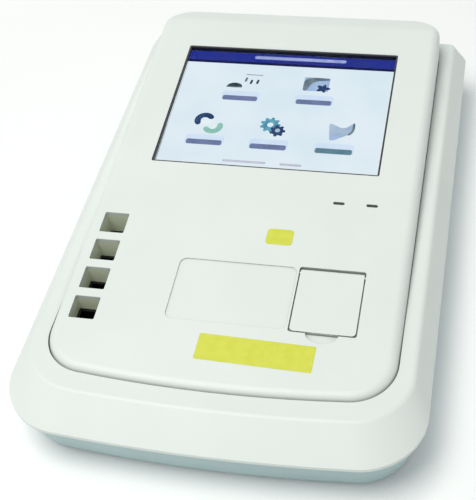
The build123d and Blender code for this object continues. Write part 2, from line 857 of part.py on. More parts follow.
# Antenna tracks of the card reader, inside its posts
coil_width = reader_board_width - 4 * reader_post_margin
coil_depth = reader_board_depth - 4 * reader_post_margin
with BuildPart() as reader_coil:
    with BuildSketch(top_plane.offset(-reader_board_top)):
        with Locations((0, -row_run)):
            for turn in range(coil_turns):
                turn_width = coil_width - 2 * turn * coil_pitch
                turn_depth = coil_depth - 2 * turn * coil_pitch
                Rectangle(turn_width, turn_depth)
                Rectangle(turn_width - 2 * coil_track, turn_depth - 2 * coil_track, mode=Mode.SUBTRACT)
    extrude(amount=coil_height)

reader_coil.part.label = "reader_coil"
export_step(reader_coil.part, "parts/reader_coil.step")

# Chamber lid: a rounded plate whose back edge is a hinge barrel
with BuildPart() as chamber_lid:
    with BuildSketch(top_plane.offset(-2 * hinge_radius)):
        with Locations((lid_x, -row_run)):
            RectangleRounded(lid_width, row_depth, lid_corner_radius)
    extrude(amount=2 * hinge_radius)
    with BuildSketch(hinge_plane):
        with Locations((-row_depth / 2, hinge_radius - lid_thickness / 2)):
            Rectangle(row_depth, lid_thickness)
        Circle(hinge_radius)
    extrude(amount=body_width, mode=Mode.INTERSECT)
    with BuildSketch(hinge_plane):
        Circle(pin_radius + running_fit)
    extrude(amount=body_width, mode=Mode.SUBTRACT)

chamber_lid.part.label = "chamber_lid"
export_step(chamber_lid.part, "parts/chamber_lid.step")

# Black inner panel of the chamber lid
with BuildPart() as lid_liner:
    with BuildSketch(top_plane.offset(-lid_thickness - liner_thickness)):
        with Locations((lid_x, -row_run)):
            RectangleRounded(liner_width, liner_depth, liner_corner_radius)
    extrude(amount=liner_thickness)

lid_liner.part.label = "lid_liner"
export_step(lid_liner.part, "parts/lid_liner.step")

# Foam ring that closes on the collar of the measuring chamber
with BuildPart() as lid_seal:
    with BuildSketch(top_plane.offset(-lid_thickness - liner_thickness - seal_thickness)):
        with Locations((lid_x, -row_run)):
            Circle(collar_radius)
            Circle(collar_radius - seal_width, mode=Mode.SUBTRACT)
    extrude(amount=seal_thickness)

lid_seal.part.label = "lid_seal"
export_step(lid_seal.part, "parts/lid_seal.step")

# Hinge pin of the chamber lid
with BuildPart() as hinge_pin:
    with BuildSketch(hinge_plane.offset(lid_x - pin_length / 2)):
        Circle(pin_radius)
    extrude(amount=pin_length)

hinge_pin.part.label = "hinge_pin"
export_step(hinge_pin.part, "parts/hinge_pin.step")

# Well guide: four square chimneys on one flange, from the warming block up to the top panel
with BuildPart() as well_guide:
    with BuildSketch(Plane.XY.offset(block_top)):
        with Locations(*well_spots):
            RectangleRounded(well_mouth + 2 * guide_wall, well_mouth + 2 * guide_wall, well_corner_radius + guide_wall)
    extrude(amount=top_height - block_top)
    with BuildSketch(Plane.XY.offset(block_top)):
        with Locations((well_x, well_middle)):
            Rectangle(block_width, block_length)
    extrude(amount=guide_flange)
    split(bisect_by=top_plane.offset(-panel_wall), keep=Keep.BOTTOM)
    with BuildSketch(Plane.XY.offset(block_top)):
        with Locations(*well_spots):
            RectangleRounded(well_mouth, well_mouth, well_corner_radius)
    extrude(amount=top_height - block_top, mode=Mode.SUBTRACT)

well_guide.part.label = "well_guide"
export_step(well_guide.part, "parts/well_guide.step")

# Warming block: a black metal block with four square wells and an ear at each end
with BuildPart() as incubator_block:
    with BuildSketch(Plane.XY.offset(block_bottom)):
        with Locations((well_x, well_middle)):
            Rectangle(block_width, block_length)
    extrude(amount=block_top - block_bottom)
    with BuildSketch(Plane.XY.offset(block_bottom)):
        with Locations((well_x, well_middle)):
            Rectangle(block_width - 2 * block_margin, block_length + 2 * ear_length)
        with Locations(*block_post_spots):
            Circle(screw_radius + clearance, mode=Mode.SUBTRACT)
    extrude(amount=ear_thickness)
    with BuildSketch(Plane.XY.offset(block_bottom + cuvette_floor)):
        with Locations(*well_spots):
            RectangleRounded(cuvette_well, cuvette_well, cuvette_corner_radius)
    extrude(amount=block_top - block_bottom, mode=Mode.SUBTRACT)
    with BuildSketch(Plane.YZ.offset(well_x + block_width / 2 - sensor_depth)):
        with Locations((well_middle, sensor_height)):
            Circle(sensor_radius + running_fit)
    extrude(amount=sensor_depth, mode=Mode.SUBTRACT)

incubator_block.part.label = "incubator_block"
export_step(incubator_block.part, "parts/incubator_block.step")

# Heater pad glued under the warming block
with BuildPart() as heater_pad:
    with BuildSketch(Plane.XY.offset(block_bottom - heater_thickness)):
        with Locations((well_x, well_middle)):
            Rectangle(heater_width, block_length)
    extrude(amount=heater_thickness)

heater_pad.part.label = "heater_pad"
export_step(heater_pad.part, "parts/heater_pad.step")

# Temperature sensor in the web between the two middle wells
with BuildPart() as temperature_sensor:
    with BuildSketch(Plane.YZ.offset(well_x + block_width / 2 - sensor_depth)):
        with Locations((well_middle, sensor_height)):
            Circle(sensor_radius)
    extrude(amount=sensor_length)

temperature_sensor.part.label = "temperature_sensor"
export_step(temperature_sensor.part, "parts/temperature_sensor.step")

# Reading block: the measuring well in its collar, beam bores, a flange below the lid, and two ears
flange_width = bay_width + 2 * skirt_wall + 2 * chamber_flange_margin
flange_depth = bay_depth + 2 * skirt_wall + 2 * chamber_flange_margin
laser_face = lid_x - chamber_width / 2 + laser_seat
detector_face = chamber_y + chamber_depth / 2 - detector_depth
with BuildPart() as reading_block:
    with BuildSketch(Plane.XY.offset(chamber_bottom)):
        with Locations((lid_x, chamber_y)):
            Rectangle(chamber_width, chamber_depth)
    extrude(amount=chamber_flange_top - chamber_bottom)
    with BuildSketch(Plane.XY.offset(chamber_bottom)):
        with Locations((lid_x, chamber_y)):
            Rectangle(2 * post_radius + 2 * running_fit, chamber_depth + 2 * ear_length)
    extrude(amount=ear_thickness)
    with BuildSketch(Plane.XY.offset(chamber_flange_top - chamber_flange)):
        with Locations((lid_x, chamber_y)):
            RectangleRounded(flange_width, flange_depth, lid_corner_radius)
        with Locations(*chamber_post_spots):
            Circle(screw_head_radius + clearance, mode=Mode.SUBTRACT)
    extrude(amount=chamber_flange)
    with BuildSketch(Plane.XY.offset(chamber_flange_top)):
        with Locations((lid_x, chamber_y)):
            Circle(collar_radius)
    extrude(amount=top_height - chamber_flange_top)
    split(bisect_by=top_plane.offset(-collar_depth), keep=Keep.BOTTOM)
    with BuildSketch(Plane.XY.offset(chamber_bottom)):
        with Locations(*chamber_post_spots):
            Circle(screw_radius + clearance)
    extrude(amount=ear_thickness, mode=Mode.SUBTRACT)
    with BuildSketch(Plane.XY.offset(chamber_bottom + chamber_well_floor)):
        with Locations((lid_x, chamber_y)):
            RectangleRounded(cuvette_well, cuvette_well, cuvette_corner_radius)
    extrude(amount=top_height, mode=Mode.SUBTRACT)
    with BuildSketch(Plane.YZ.offset(lid_x - chamber_width / 2)):
        with Locations((chamber_y, beam_height)):
            Circle(laser_radius + running_fit)
    extrude(amount=laser_seat, mode=Mode.SUBTRACT)
    with BuildSketch(Plane.YZ.offset(laser_face)):
        with Locations((chamber_y, beam_height)):
            Circle(beam_lens_radius + running_fit)
    extrude(amount=beam_lens_thickness, mode=Mode.SUBTRACT)
    with BuildSketch(Plane.YZ.offset(laser_face)):
        with Locations((chamber_y, beam_height)):
            Circle(beam_radius)
    extrude(amount=lid_x + cuvette_well / 2 + beam_trap_depth - laser_face, mode=Mode.SUBTRACT)
    with BuildSketch(Plane.XZ.offset(-chamber_y)):
        with Locations((lid_x, beam_height)):
            Circle(beam_radius)
    extrude(amount=-(detector_face - chamber_y), mode=Mode.SUBTRACT)
    with BuildSketch(Plane.XZ.offset(-detector_face)):
        with Locations((lid_x, beam_height)):
            Circle(detector_radius)
    extrude(amount=-detector_depth, mode=Mode.SUBTRACT)

reading_block.part.label = "reading_block"
export_step(reading_block.part, "parts/reading_block.step")

# Laser module in its seat at the left of the reading block
with BuildPart() as laser_module:
    with BuildSketch(Plane.YZ.offset(laser_face - laser_length)):
        with Locations((chamber_y, beam_height)):
            Circle(laser_radius)
    extrude(amount=laser_length)
    with BuildSketch(Plane.YZ.offset(laser_face - laser_aperture_depth)):
        with Locations((chamber_y, beam_height)):
            Circle(laser_aperture_radius)
    extrude(amount=laser_aperture_depth, mode=Mode.SUBTRACT)

laser_module.part.label = "laser_module"
export_step(laser_module.part, "parts/laser_module.step")

# Beam lens between the laser module and the beam bore
with BuildPart() as beam_lens:
    with BuildSketch(Plane.YZ.offset(laser_face)):
        with Locations((chamber_y, beam_height)):
            Circle(beam_lens_radius)
    extrude(amount=beam_lens_thickness)

beam_lens.part.label = "beam_lens"
export_step(beam_lens.part, "parts/beam_lens.step")

# Photodiode, seated square to the beam at the back of the reading block
with BuildPart() as photodiode:
    with BuildSketch(Plane.XZ.offset(-detector_face)):
        with Locations((lid_x, beam_height)):
            Circle(detector_radius - running_fit)
    extrude(amount=-detector_depth)

photodiode.part.label = "photodiode"
export_step(photodiode.part, "parts/photodiode.step")

# Detector board on the back face of the reading block
with BuildPart() as detector_board:
    with BuildSketch(Plane.XZ.offset(-(chamber_y + chamber_depth / 2))):
        with Locations((lid_x, beam_height)):
            Rectangle(detector_board_size, detector_board_size)
    extrude(amount=-board_thickness)

detector_board.part.label = "detector_board"
export_step(detector_board.part, "parts/detector_board.step")

# Screws that hold the warming block and the reading block on their posts
with BuildPart() as block_screws:
    for height, spots in ((block_bottom, block_post_spots), (chamber_bottom, chamber_post_spots)):
        with BuildSketch(Plane.XY.offset(height + ear_thickness)):
            with Locations(*spots):
                Circle(screw_head_radius)
        extrude(amount=screw_head_height)
        with BuildSketch(Plane.XY.offset(height + ear_thickness)):
            with Locations(*spots):
                Circle(screw_radius)
        extrude(amount=-block_screw_length)

block_screws.part.label = "block_screws"
export_step(block_screws.part, "parts/block_screws.step")

# Stirrer motor on the base floor, under the measuring chamber
motor_top = floor_top + motor_height
rotor_bottom = chamber_bottom - rotor_gap - rotor_thickness
with BuildPart() as stir_motor:
    with BuildSketch(Plane.XY.offset(floor_top)):
        with Locations((lid_x, chamber_y)):
            Circle(motor_radius)
    extrude(amount=motor_height)
    with BuildSketch(Plane.XY.offset(motor_top)):
        with Locations((lid_x, chamber_y)):
            Circle(motor_boss_radius)
    extrude(amount=motor_boss_height)
    with BuildSketch(Plane.XY.offset(motor_top + motor_boss_height)):
        with Locations((lid_x, chamber_y)):
            Circle(shaft_radius + running_fit)
    extrude(amount=-(shaft_seat + motor_boss_height + clearance), mode=Mode.SUBTRACT)

stir_motor.part.label = "stir_motor"
export_step(stir_motor.part, "parts/stir_motor.step")

# Motor shaft
with BuildPart() as motor_shaft:
    with BuildSketch(Plane.XY.offset(motor_top - shaft_seat)):
        with Locations((lid_x, chamber_y)):
            Circle(shaft_radius)
    extrude(amount=shaft_seat + shaft_reach)

motor_shaft.part.label = "motor_shaft"
export_step(motor_shaft.part, "parts/motor_shaft.step")

# Stirrer rotor with two pockets for its magnets
magnet_spots = [(lid_x + side * magnet_offset, chamber_y) for side in (-1, 1)]
rotor_top = rotor_bottom + rotor_thickness
with BuildPart() as stir_rotor:
    with BuildSketch(Plane.XY.offset(rotor_bottom)):
        with Locations((lid_x, chamber_y)):
            Circle(rotor_radius)
            Circle(shaft_radius + running_fit, mode=Mode.SUBTRACT)
    extrude(amount=rotor_thickness)
    with BuildSketch(Plane.XY.offset(rotor_top)):
        with Locations(*magnet_spots):
            Circle(magnet_radius + running_fit)
    extrude(amount=-magnet_thickness, mode=Mode.SUBTRACT)

stir_rotor.part.label = "stir_rotor"
export_step(stir_rotor.part, "parts/stir_rotor.step")

# Magnets that turn the stirring bar in the well above
with BuildPart() as rotor_magnets:
    with BuildSketch(Plane.XY.offset(rotor_top)):
        with Locations(*magnet_spots):
            Circle(magnet_radius)
    extrude(amount=-magnet_thickness)

rotor_magnets.part.label = "rotor_magnets"
export_step(rotor_magnets.part, "parts/rotor_magnets.step")

# Main board on four standoffs
board_bottom = floor_top + board_lift
board_top = board_bottom + board_thickness
board_hole_x = board_width / 2 - board_hole_margin
board_hole_y = board_depth / 2 - board_hole_margin
board_hole_spots = [(board_x + x * board_hole_x, board_y + y * board_hole_y) for x in (-1, 1) for y in (-1, 1)]


def on_board(place_share):
    """Point on the main board from its shares of the board's width and depth."""
    return (board_x + place_share[0] * board_width, board_y + place_share[1] * board_depth)


with BuildPart() as main_board:
    with BuildSketch(Plane.XY.offset(board_bottom)):
        with Locations((board_x, board_y)):
            Rectangle(board_width, board_depth)
        with Locations(*board_hole_spots):
            Circle(board_screw_radius + running_fit, mode=Mode.SUBTRACT)
    extrude(amount=board_thickness)

main_board.part.label = "main_board"
export_step(main_board.part, "parts/main_board.step")

# Hexagonal standoffs under the main board
with BuildPart() as standoffs:
    with BuildSketch(Plane.XY.offset(floor_top)):
        with Locations(*board_hole_spots):
            RegularPolygon(standoff_flat / 2, side_count=6, major_radius=False)
            Circle(board_screw_radius + running_fit, mode=Mode.SUBTRACT)
    extrude(amount=board_lift)

standoffs.part.label = "standoffs"
export_step(standoffs.part, "parts/standoffs.step")

# Screws of the main board
with BuildPart() as board_screws:
    with BuildSketch(Plane.XY.offset(board_top)):
        with Locations(*board_hole_spots):
            Circle(board_screw_head_radius)
    extrude(amount=board_screw_head_height)
    with BuildSketch(Plane.XY.offset(board_top)):
        with Locations(*board_hole_spots):
            Circle(board_screw_radius)
    extrude(amount=-board_screw_length)

board_screws.part.label = "board_screws"
export_step(board_screws.part, "parts/board_screws.step")

# Processor, computing module, capacitors and ribbon socket on the main board
socket_y = board_y - board_depth / 2 + socket_margin
capacitor_place = on_board(capacitor_place_share)
with BuildPart() as board_parts:
    with BuildSketch(Plane.XY.offset(board_top)):
        with Locations(on_board(chip_place_share)):
            Rectangle(chip_size, chip_size)
    extrude(amount=chip_height)
    with BuildSketch(Plane.XY.offset(board_top)):
        with Locations(on_board(module_place_share)):
            Rectangle(module_width, module_depth)
    extrude(amount=module_height)
    with BuildSketch(Plane.XY.offset(board_top)):
        with Locations(capacitor_place):
            with GridLocations(0, capacitor_pitch, 1, capacitor_count):
                Circle(capacitor_radius)
    extrude(amount=capacitor_height)
    with BuildSketch(Plane.XY.offset(board_top)):
        with Locations((ribbon_x, socket_y)):
            Rectangle(socket_width, socket_depth)
    extrude(amount=socket_height)

board_parts.part.label = "board_parts"
export_step(board_parts.part, "parts/board_parts.step")

# Buzzer with its sound hole
with BuildPart() as buzzer:
    with BuildSketch(Plane.XY.offset(board_top)):
        with Locations(on_board(buzzer_place_share)):
            Circle(buzzer_radius)
    extrude(amount=buzzer_height)
    with BuildSketch(Plane.XY.offset(board_top + buzzer_height)):
        with Locations(on_board(buzzer_place_share)):
            Circle(buzzer_port)
    extrude(amount=-buzzer_height / 2, mode=Mode.SUBTRACT)

buzzer.part.label = "buzzer"
export_step(buzzer.part, "parts/buzzer.step")

# Clock battery
with BuildPart() as clock_battery:
    with BuildSketch(Plane.XY.offset(board_top)):
        with Locations(on_board(cell_place_share)):
            Circle(cell_radius)
    extrude(amount=cell_height)

clock_battery.part.label = "clock_battery"
export_step(clock_battery.part, "parts/clock_battery.step")

# Ribbon cable: out of the display board's socket, down in a loop and into the main board's socket
ribbon_start = on_slope(0, display_socket_y - socket_depth / 2 - running_fit, display_board_bottom + socket_height / 2)
ribbon_low = board_top + socket_height / 2
ribbon_end_y = socket_y - socket_depth / 2
ribbon_turn_y = min(ribbon_start.Y, ribbon_end_y) - ribbon_lead - ribbon_bend
with BuildPart() as ribbon_cable:
    with BuildSketch(Plane.YZ.offset(ribbon_x - ribbon_width / 2)):
        with BuildLine():
            FilletPolyline(
                (ribbon_start.Y, ribbon_start.Z), (ribbon_turn_y, ribbon_start.Z), (ribbon_turn_y, ribbon_low),
                (ribbon_end_y, ribbon_low), radius=ribbon_bend,
            )
        trace(line_width=ribbon_thickness)
    extrude(amount=ribbon_width)

ribbon_cable.part.label = "ribbon_cable"
export_step(ribbon_cable.part, "parts/ribbon_cable.step")

# Power inlet: a round socket with its centre pin
plate_outer = base_inner_back
plate_inner = plate_outer - rear_plate_thickness
port_front = plate_outer + port_reach
jack_z = board_top + jack_height / 2
with BuildPart() as power_jack:
    with BuildSketch(Plane.XZ.offset(-port_front)):
        with Locations((jack_x, jack_z)):
            Rectangle(jack_width, jack_height)
    extrude(amount=jack_length)
    with BuildSketch(Plane.XZ.offset(-port_front)):
        with Locations((jack_x, jack_z)):
            Circle(jack_bore)
            Circle(jack_pin_radius, mode=Mode.SUBTRACT)
    extrude(amount=jack_bore_depth, mode=Mode.SUBTRACT)

power_jack.part.label = "power_jack"
export_step(power_jack.part, "parts/power_jack.step")

# Data port: a sheet-metal mouth round a flat tongue
data_z = board_top + data_height / 2
with BuildPart() as data_port:
    with BuildSketch(Plane.XZ.offset(-port_front)):
        with Locations((data_x, data_z)):
            Rectangle(data_width, data_height)
    extrude(amount=data_length)
    with BuildSketch(Plane.XZ.offset(-port_front)):
        with Locations((data_x, data_z)):
            Rectangle(data_width - 2 * data_sheet, data_height - 2 * data_sheet)
            Rectangle(data_tongue_width, data_tongue_height, mode=Mode.SUBTRACT)
    extrude(amount=data_length - data_floor, mode=Mode.SUBTRACT)

data_port.part.label = "data_port"
export_step(data_port.part, "parts/data_port.step")


def shell_outline(plane, inset):
    """Slanted socket outline of the serial port, drawn in by an inset, on an upright plane."""
    half = serial_shell_width / 2 - inset
    rise = serial_shell_height / 2 - inset
    with BuildSketch(plane) as outline:
        with Locations((serial_x, serial_z)):
            Polygon(
                (-half, rise), (half, rise), (half - serial_shell_slant, -rise), (-half + serial_shell_slant, -rise),
                align=None,
            )
    return outline.sketch


# Serial port: a slanted shell with nine pins, its flange behind the plate and two hexagonal nuts outside
serial_z = board_top + serial_flange_height / 2
shell_front = plate_inner + serial_shell_reach
shell_plane = Plane.XZ.offset(-shell_front)
serial_rows = ((serial_row_pitch / 2, serial_long_row_count), (-serial_row_pitch / 2, serial_long_row_count - 1))
with BuildPart() as serial_port:
    with BuildSketch(Plane.XZ.offset(-plate_inner)):
        with Locations((serial_x, serial_z)):
            Rectangle(serial_flange_width, serial_flange_height)
    extrude(amount=serial_flange_thickness)
    with BuildSketch(Plane.XZ.offset(-(plate_inner - serial_flange_thickness))):
        with Locations((serial_x, serial_z)):
            Rectangle(serial_shell_width, serial_flange_height)
    extrude(amount=serial_body_length)
    extrude(shell_outline(shell_plane, 0), amount=serial_shell_reach)
    extrude(shell_outline(shell_plane, serial_shell_wall), amount=serial_shell_reach, mode=Mode.SUBTRACT)
    with BuildSketch(Plane.XZ.offset(-(shell_front - serial_pin_recess))):
        with Locations((serial_x, serial_z)):
            for rise, count in serial_rows:
                with Locations((0, rise)):
                    with GridLocations(serial_pin_pitch, 0, count, 1):
                        Circle(serial_pin_radius)
    extrude(amount=serial_shell_reach - serial_pin_recess)
    with BuildSketch(Plane.XZ.offset(-(plate_outer + serial_nut_height))):
        with Locations((serial_x, serial_z)):
            with GridLocations(serial_nut_pitch, 0, 2, 1):
                RegularPolygon(serial_nut_radius, side_count=6)
    extrude(amount=serial_nut_height)
    with BuildSketch(Plane.XZ.offset(-plate_outer)):
        with Locations((serial_x, serial_z)):
            with GridLocations(serial_nut_pitch, 0, 2, 1):
                Circle(serial_stud_radius)
    extrude(amount=rear_plate_thickness)

serial_port.part.label = "serial_port"
export_step(serial_port.part, "parts/serial_port.step")

# Power switch body: a flanged box whose well holds the rocker
switch_front = plate_outer + switch_flange
pivot_y = switch_front - rocker_pivot_depth
with BuildPart() as switch_body:
    with BuildSketch(Plane.XZ.offset(-switch_front)):
        with Locations((switch_x, rear_window_z)):
            RectangleRounded(switch_width, switch_height, rear_plate_radius)
    extrude(amount=switch_flange)
    with BuildSketch(Plane.XZ.offset(-plate_outer)):
        with Locations((switch_x, rear_window_z)):
            Rectangle(switch_body_width, switch_body_height)
    extrude(amount=switch_body_length)
    with BuildSketch(Plane.XZ.offset(-switch_front)):
        with Locations((switch_x, rear_window_z)):
            Rectangle(switch_well_width, switch_well_height)
    extrude(amount=switch_well_depth, mode=Mode.SUBTRACT)
    with BuildSketch(Plane.XY.offset(rear_window_z)):
        with Locations((switch_x, pivot_y)):
            Circle(rocker_stub_radius + running_fit)
    extrude(amount=rocker_height / 2 + rocker_stub_length + clearance, both=True, mode=Mode.SUBTRACT)

switch_body.part.label = "switch_body"
export_step(switch_body.part, "parts/switch_body.step")

# Rocker, tipped to one side about its upright axle
rocker_half = rocker_width / 2
rocker_plane = Plane.XY.rotated((0, 0, -rocker_throw))
rocker_plane.origin = (switch_x, pivot_y, rear_window_z)
with BuildPart() as switch_rocker:
    with BuildSketch(rocker_plane):
        Polygon(
            (-rocker_half, rocker_end), (0, rocker_middle), (rocker_half, rocker_end),
            (rocker_half, -rocker_tail), (-rocker_half, -rocker_tail), align=None,
        )
    extrude(amount=rocker_height / 2, both=True)
    with BuildSketch(rocker_plane):
        Circle(rocker_stub_radius)
    extrude(amount=rocker_height / 2 + rocker_stub_length, both=True)

switch_rocker.part.label = "switch_rocker"
export_step(switch_rocker.part, "parts/switch_rocker.step")

# Connector plate behind the window of the base tray
with BuildPart() as rear_panel:
    with BuildSketch(Plane.XZ.offset(-plate_outer)):
        with Locations((0, rear_window_z)):
            RectangleRounded(
                rear_window_width + 2 * rear_plate_margin, rear_window_height + 2 * rear_plate_margin,
                rear_plate_radius,
            )
        with Locations((jack_x, jack_z)):
            Rectangle(jack_width + 2 * port_fit, jack_height + 2 * port_fit, mode=Mode.SUBTRACT)
        with Locations((data_x, data_z)):
            Rectangle(data_width + 2 * port_fit, data_height + 2 * port_fit, mode=Mode.SUBTRACT)
        with Locations((switch_x, rear_window_z)):
            Rectangle(switch_body_width + 2 * port_fit, switch_body_height + 2 * port_fit, mode=Mode.SUBTRACT)
        with Locations((serial_x, serial_z)):
            with GridLocations(serial_nut_pitch, 0, 2, 1):
                Circle(serial_stud_radius + port_fit, mode=Mode.SUBTRACT)
    extrude(amount=rear_plate_thickness)
    extrude(shell_outline(Plane.XZ.offset(-plate_outer), -port_fit), amount=rear_plate_thickness, mode=Mode.SUBTRACT)

rear_panel.part.label = "rear_panel"
export_step(rear_panel.part, "parts/rear_panel.step")
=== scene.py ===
# %% [markdown]
# # A bench-top specific protein analyzer
# The real object is a low, wedge-shaped laboratory instrument: a white moulded housing with a raised, tilted
# top, a touch display, four warming wells, a card pad and a small lid over its measuring chamber.
# Its solids come from an engineering model, so this lesson starts by loading them and never moves them.
# Everything that is added here is worked out in the same frame, in metres.

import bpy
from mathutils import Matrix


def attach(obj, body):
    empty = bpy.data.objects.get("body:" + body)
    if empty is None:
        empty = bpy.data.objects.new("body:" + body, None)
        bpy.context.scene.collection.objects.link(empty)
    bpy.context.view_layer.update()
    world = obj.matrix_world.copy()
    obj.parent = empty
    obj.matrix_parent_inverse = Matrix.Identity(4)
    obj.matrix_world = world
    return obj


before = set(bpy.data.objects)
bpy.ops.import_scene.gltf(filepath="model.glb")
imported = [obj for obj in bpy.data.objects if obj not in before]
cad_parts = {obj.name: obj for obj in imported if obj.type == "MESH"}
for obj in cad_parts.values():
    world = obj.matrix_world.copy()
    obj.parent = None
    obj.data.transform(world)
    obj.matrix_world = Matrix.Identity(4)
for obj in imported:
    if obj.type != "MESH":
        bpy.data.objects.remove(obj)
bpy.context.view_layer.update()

# %% [markdown]
# ## Small helpers
# Colours are written as the hex codes that a paint program shows, and a shader wants linear light, so one
# function turns the first to the second. Sizes are written in millimetres and turned to metres once.
# Another function adds any shader node with its settings and links, which keeps the materials short to read.

# %% Units, colours and nodes
from math import atan2, cos, pi, radians, sin

import bpy
import numpy as np

MM = 0.001


def linear(code):
    """Linear colour from an sRGB hex code: a channel up to 0.04045 over 12.92, else ((c + 0.055) / 1.055) to 2.4."""
    channels = np.array([int(code[i:i + 2], 16) for i in (1, 3, 5)]) / 255
    light = np.where(channels > 0.04045, ((channels + 0.055) / 1.055) ** 2.4, channels / 12.92)
    return (*light.tolist(), 1.0)


def add_node(tree, kind, inputs=None, **settings):
    """Adds one shader node. A socket gets a plain value, a hex code's colour, or a link from another output."""
    made = tree.nodes.new(kind)
    for name, value in settings.items():
        setattr(made, name, value)
    for socket, value in (inputs or {}).items():
        if isinstance(value, bpy.types.NodeSocket):
            tree.links.new(value, made.inputs[socket])
        else:
            made.inputs[socket].default_value = linear(value) if isinstance(value, str) else value
    return made


print("white is", linear("#ffffff"), "and mid grey is", linear("#808080"))

# %% [markdown]
# ## What all finishes share
# Every finish below is one principled shader. Its plain numbers are set on its own sockets, because an
# exported model keeps them only there. Real finishes are never even, so each one follows a cloudy pattern of
# a real size: its colour and its shine go from one value to another with it, and the surface rises and falls,
# mostly by a few hundredths of a millimetre. A pattern that is d millimetres across has a texture scale of
# 1000 / d, because object coordinates are in metres. Noise seldom leaves the levels from 0.35 to 0.65, so
# these count as its lowest and highest unless others are given.

# %% Start, pattern and surface of a finish
finishes = {}


def new_finish(name, **sockets):
    """Starts a material and returns its node tree and principled shader; underscores in socket names are spaces."""
    made = bpy.data.materials.new(name)
    made.use_nodes = True
    made.node_tree.nodes.clear()
    inputs = {socket.replace("_", " "): value for socket, value in sockets.items()}
    shader = add_node(made.node_tree, "ShaderNodeBsdfPrincipled", inputs)
    add_node(made.node_tree, "ShaderNodeOutputMaterial", {"Surface": shader.outputs["BSDF"]})
    finishes[name] = made
    return made.node_tree, shader


def clouds(tree, size_mm, detail=2.0, stretch=(1, 1, 1)):
    """Cloudy pattern from 0 to 1 with spots size_mm across, longer along an axis whose stretch is below 1."""
    place = add_node(tree, "ShaderNodeTexCoord").outputs["Object"]
    place = add_node(tree, "ShaderNodeMapping", {"Vector": place, "Scale": stretch}).outputs["Vector"]
    made = add_node(tree, "ShaderNodeTexNoise", {"Vector": place, "Scale": 1 / (size_mm * MM), "Detail": detail})
    return made.outputs["Fac"]


def follow(tree, pattern, low, high, at_low=0.35, at_high=0.65):
    """Number, or colour where low is a hex code, that goes from low to high between two levels of a pattern."""
    coloured = isinstance(low, str)
    ends = {"To Min": 0.0, "To Max": 1.0} if coloured else {"To Min": low, "To Max": high}
    levels = {"Value": pattern, "From Min": at_low, "From Max": at_high}
    share = add_node(tree, "ShaderNodeMapRange", {**levels, **ends}).outputs["Result"]
    if not coloured:
        return share
    return add_node(tree, "ShaderNodeMix", {0: share, 6: low, 7: high}, data_type="RGBA").outputs[2]


def lay_on(tree, shader, colour, roughness=None, height=None, depth_mm=0.0):
    """Gives a shader its colour, its roughness, and a relief from a pattern that is depth_mm high where it is 1."""
    tree.links.new(colour, shader.inputs["Base Color"])
    if roughness is not None:
        tree.links.new(roughness, shader.inputs["Roughness"])
    if height is not None:
        relief = add_node(tree, "ShaderNodeBump", {"Height": height, "Distance": depth_mm * MM, "Strength": 1.0})
        tree.links.new(relief.outputs["Normal"], shader.inputs["Normal"])


print("a pattern of 0.5 mm has a texture scale of", 1 / (0.5 * MM))

# %% [markdown]
# ## Moulded plastics
# The housing is ABS, moulded in a steel tool whose face was spark-eroded, so the plastic comes out with a
# fine even grain that breaks up its shine. The real grain is about 0.1 mm, which is too fine to show at this
# distance, so it is drawn about 0.5 mm across. A second, very wide pattern shifts the tone a little, as real
# mouldings do where the plastic flowed and cooled. On the white pieces a painted shade darkens the grooves: an
# ambient occlusion node measures how much of the sky a point sees, and the colour turns grey where that is little.

# %% Plastics
PLASTIC_IOR = 1.53
DRIFT_MM = 70
# Painted shade in grooves: how far it looks for what is near, how grey it gets at most, and the sky levels where
# that is reached and where it ends
SHADE_REACH_MM = 5
MOST_SHADE = 0.6
SHADED_SKY, OPEN_SKY = 0.35, 0.95


def grained_plastic(name, colour, shade, grain_mm, depth_mm, smooth, rough, groove_shade=None):
    """Moulded plastic: its tone drifts between two colours, and its grain changes shine and height.

    A third colour, a painted shade for grooves, starts where what is near hides 5 % of the sky, and is strongest
    where it hides 65 %."""
    tree, shader = new_finish(name, IOR=PLASTIC_IOR)
    tone = follow(tree, clouds(tree, DRIFT_MM), colour, shade)
    # Painted shade: the tone is mixed towards a grey where nearby surfaces hide much of the sky, as in grooves and
    # gaps
    if groove_shade:
        sky = add_node(tree, "ShaderNodeAmbientOcclusion", {"Distance": SHADE_REACH_MM * MM}, samples=8)
        shade_amount = follow(tree, sky.outputs["AO"], MOST_SHADE, 0.0, SHADED_SKY, OPEN_SKY)
        tone = add_node(tree, "ShaderNodeMix", {0: shade_amount, 6: tone, 7: groove_shade}, data_type="RGBA").outputs[2]
    grain = clouds(tree, grain_mm, detail=3.0)
    lay_on(tree, shader, tone, follow(tree, grain, smooth, rough), grain, depth_mm)


# The numbers are the size and the depth of the grain in mm, and the roughness of its low and its high spots.
# White ABS with a hint of green: satin, with a soft wide highlight, and a painted grey shade in its grooves
grained_plastic("white_abs_satin_moulded", "#e9f0ec", "#e5ede9", 0.5, 0.012, 0.4, 0.5, groove_shade="#8f9b92")
# Grey-green ABS of the base tray: a coarser grain makes it duller, and its place in the shade makes it look darker
grained_plastic("grey_abs_grained", "#b8d0d1", "#b0c8c9", 0.7, 0.03, 0.5, 0.62)
# Natural ABS of the well guide: slightly yellow, so the wells look warmer than the top
grained_plastic("natural_abs_moulded", "#edf2de", "#e7edd6", 0.6, 0.02, 0.4, 0.5)
# Black ABS of the bezel, connector plate and switch: dark with a faint grey sheen
grained_plastic("black_abs_grained", "#1b1c1e", "#202224", 0.5, 0.02, 0.38, 0.5)
# Nitrile rubber of the feet: matt and slightly dusty
grained_plastic("nitrile_rubber_matt", "#2a2b2c", "#34352f", 0.9, 0.03, 0.75, 0.9)
# Open-cell foam of the light seal: very rough, with visible cells
grained_plastic("open_cell_foam", "#232425", "#303132", 0.8, 0.25, 0.9, 1.0)
# Silicone heater mat: orange-red, matt
grained_plastic("silicone_heater_mat", "#b8532a", "#a94a26", 1.2, 0.05, 0.6, 0.7)
print("plastics:", sorted(finishes))

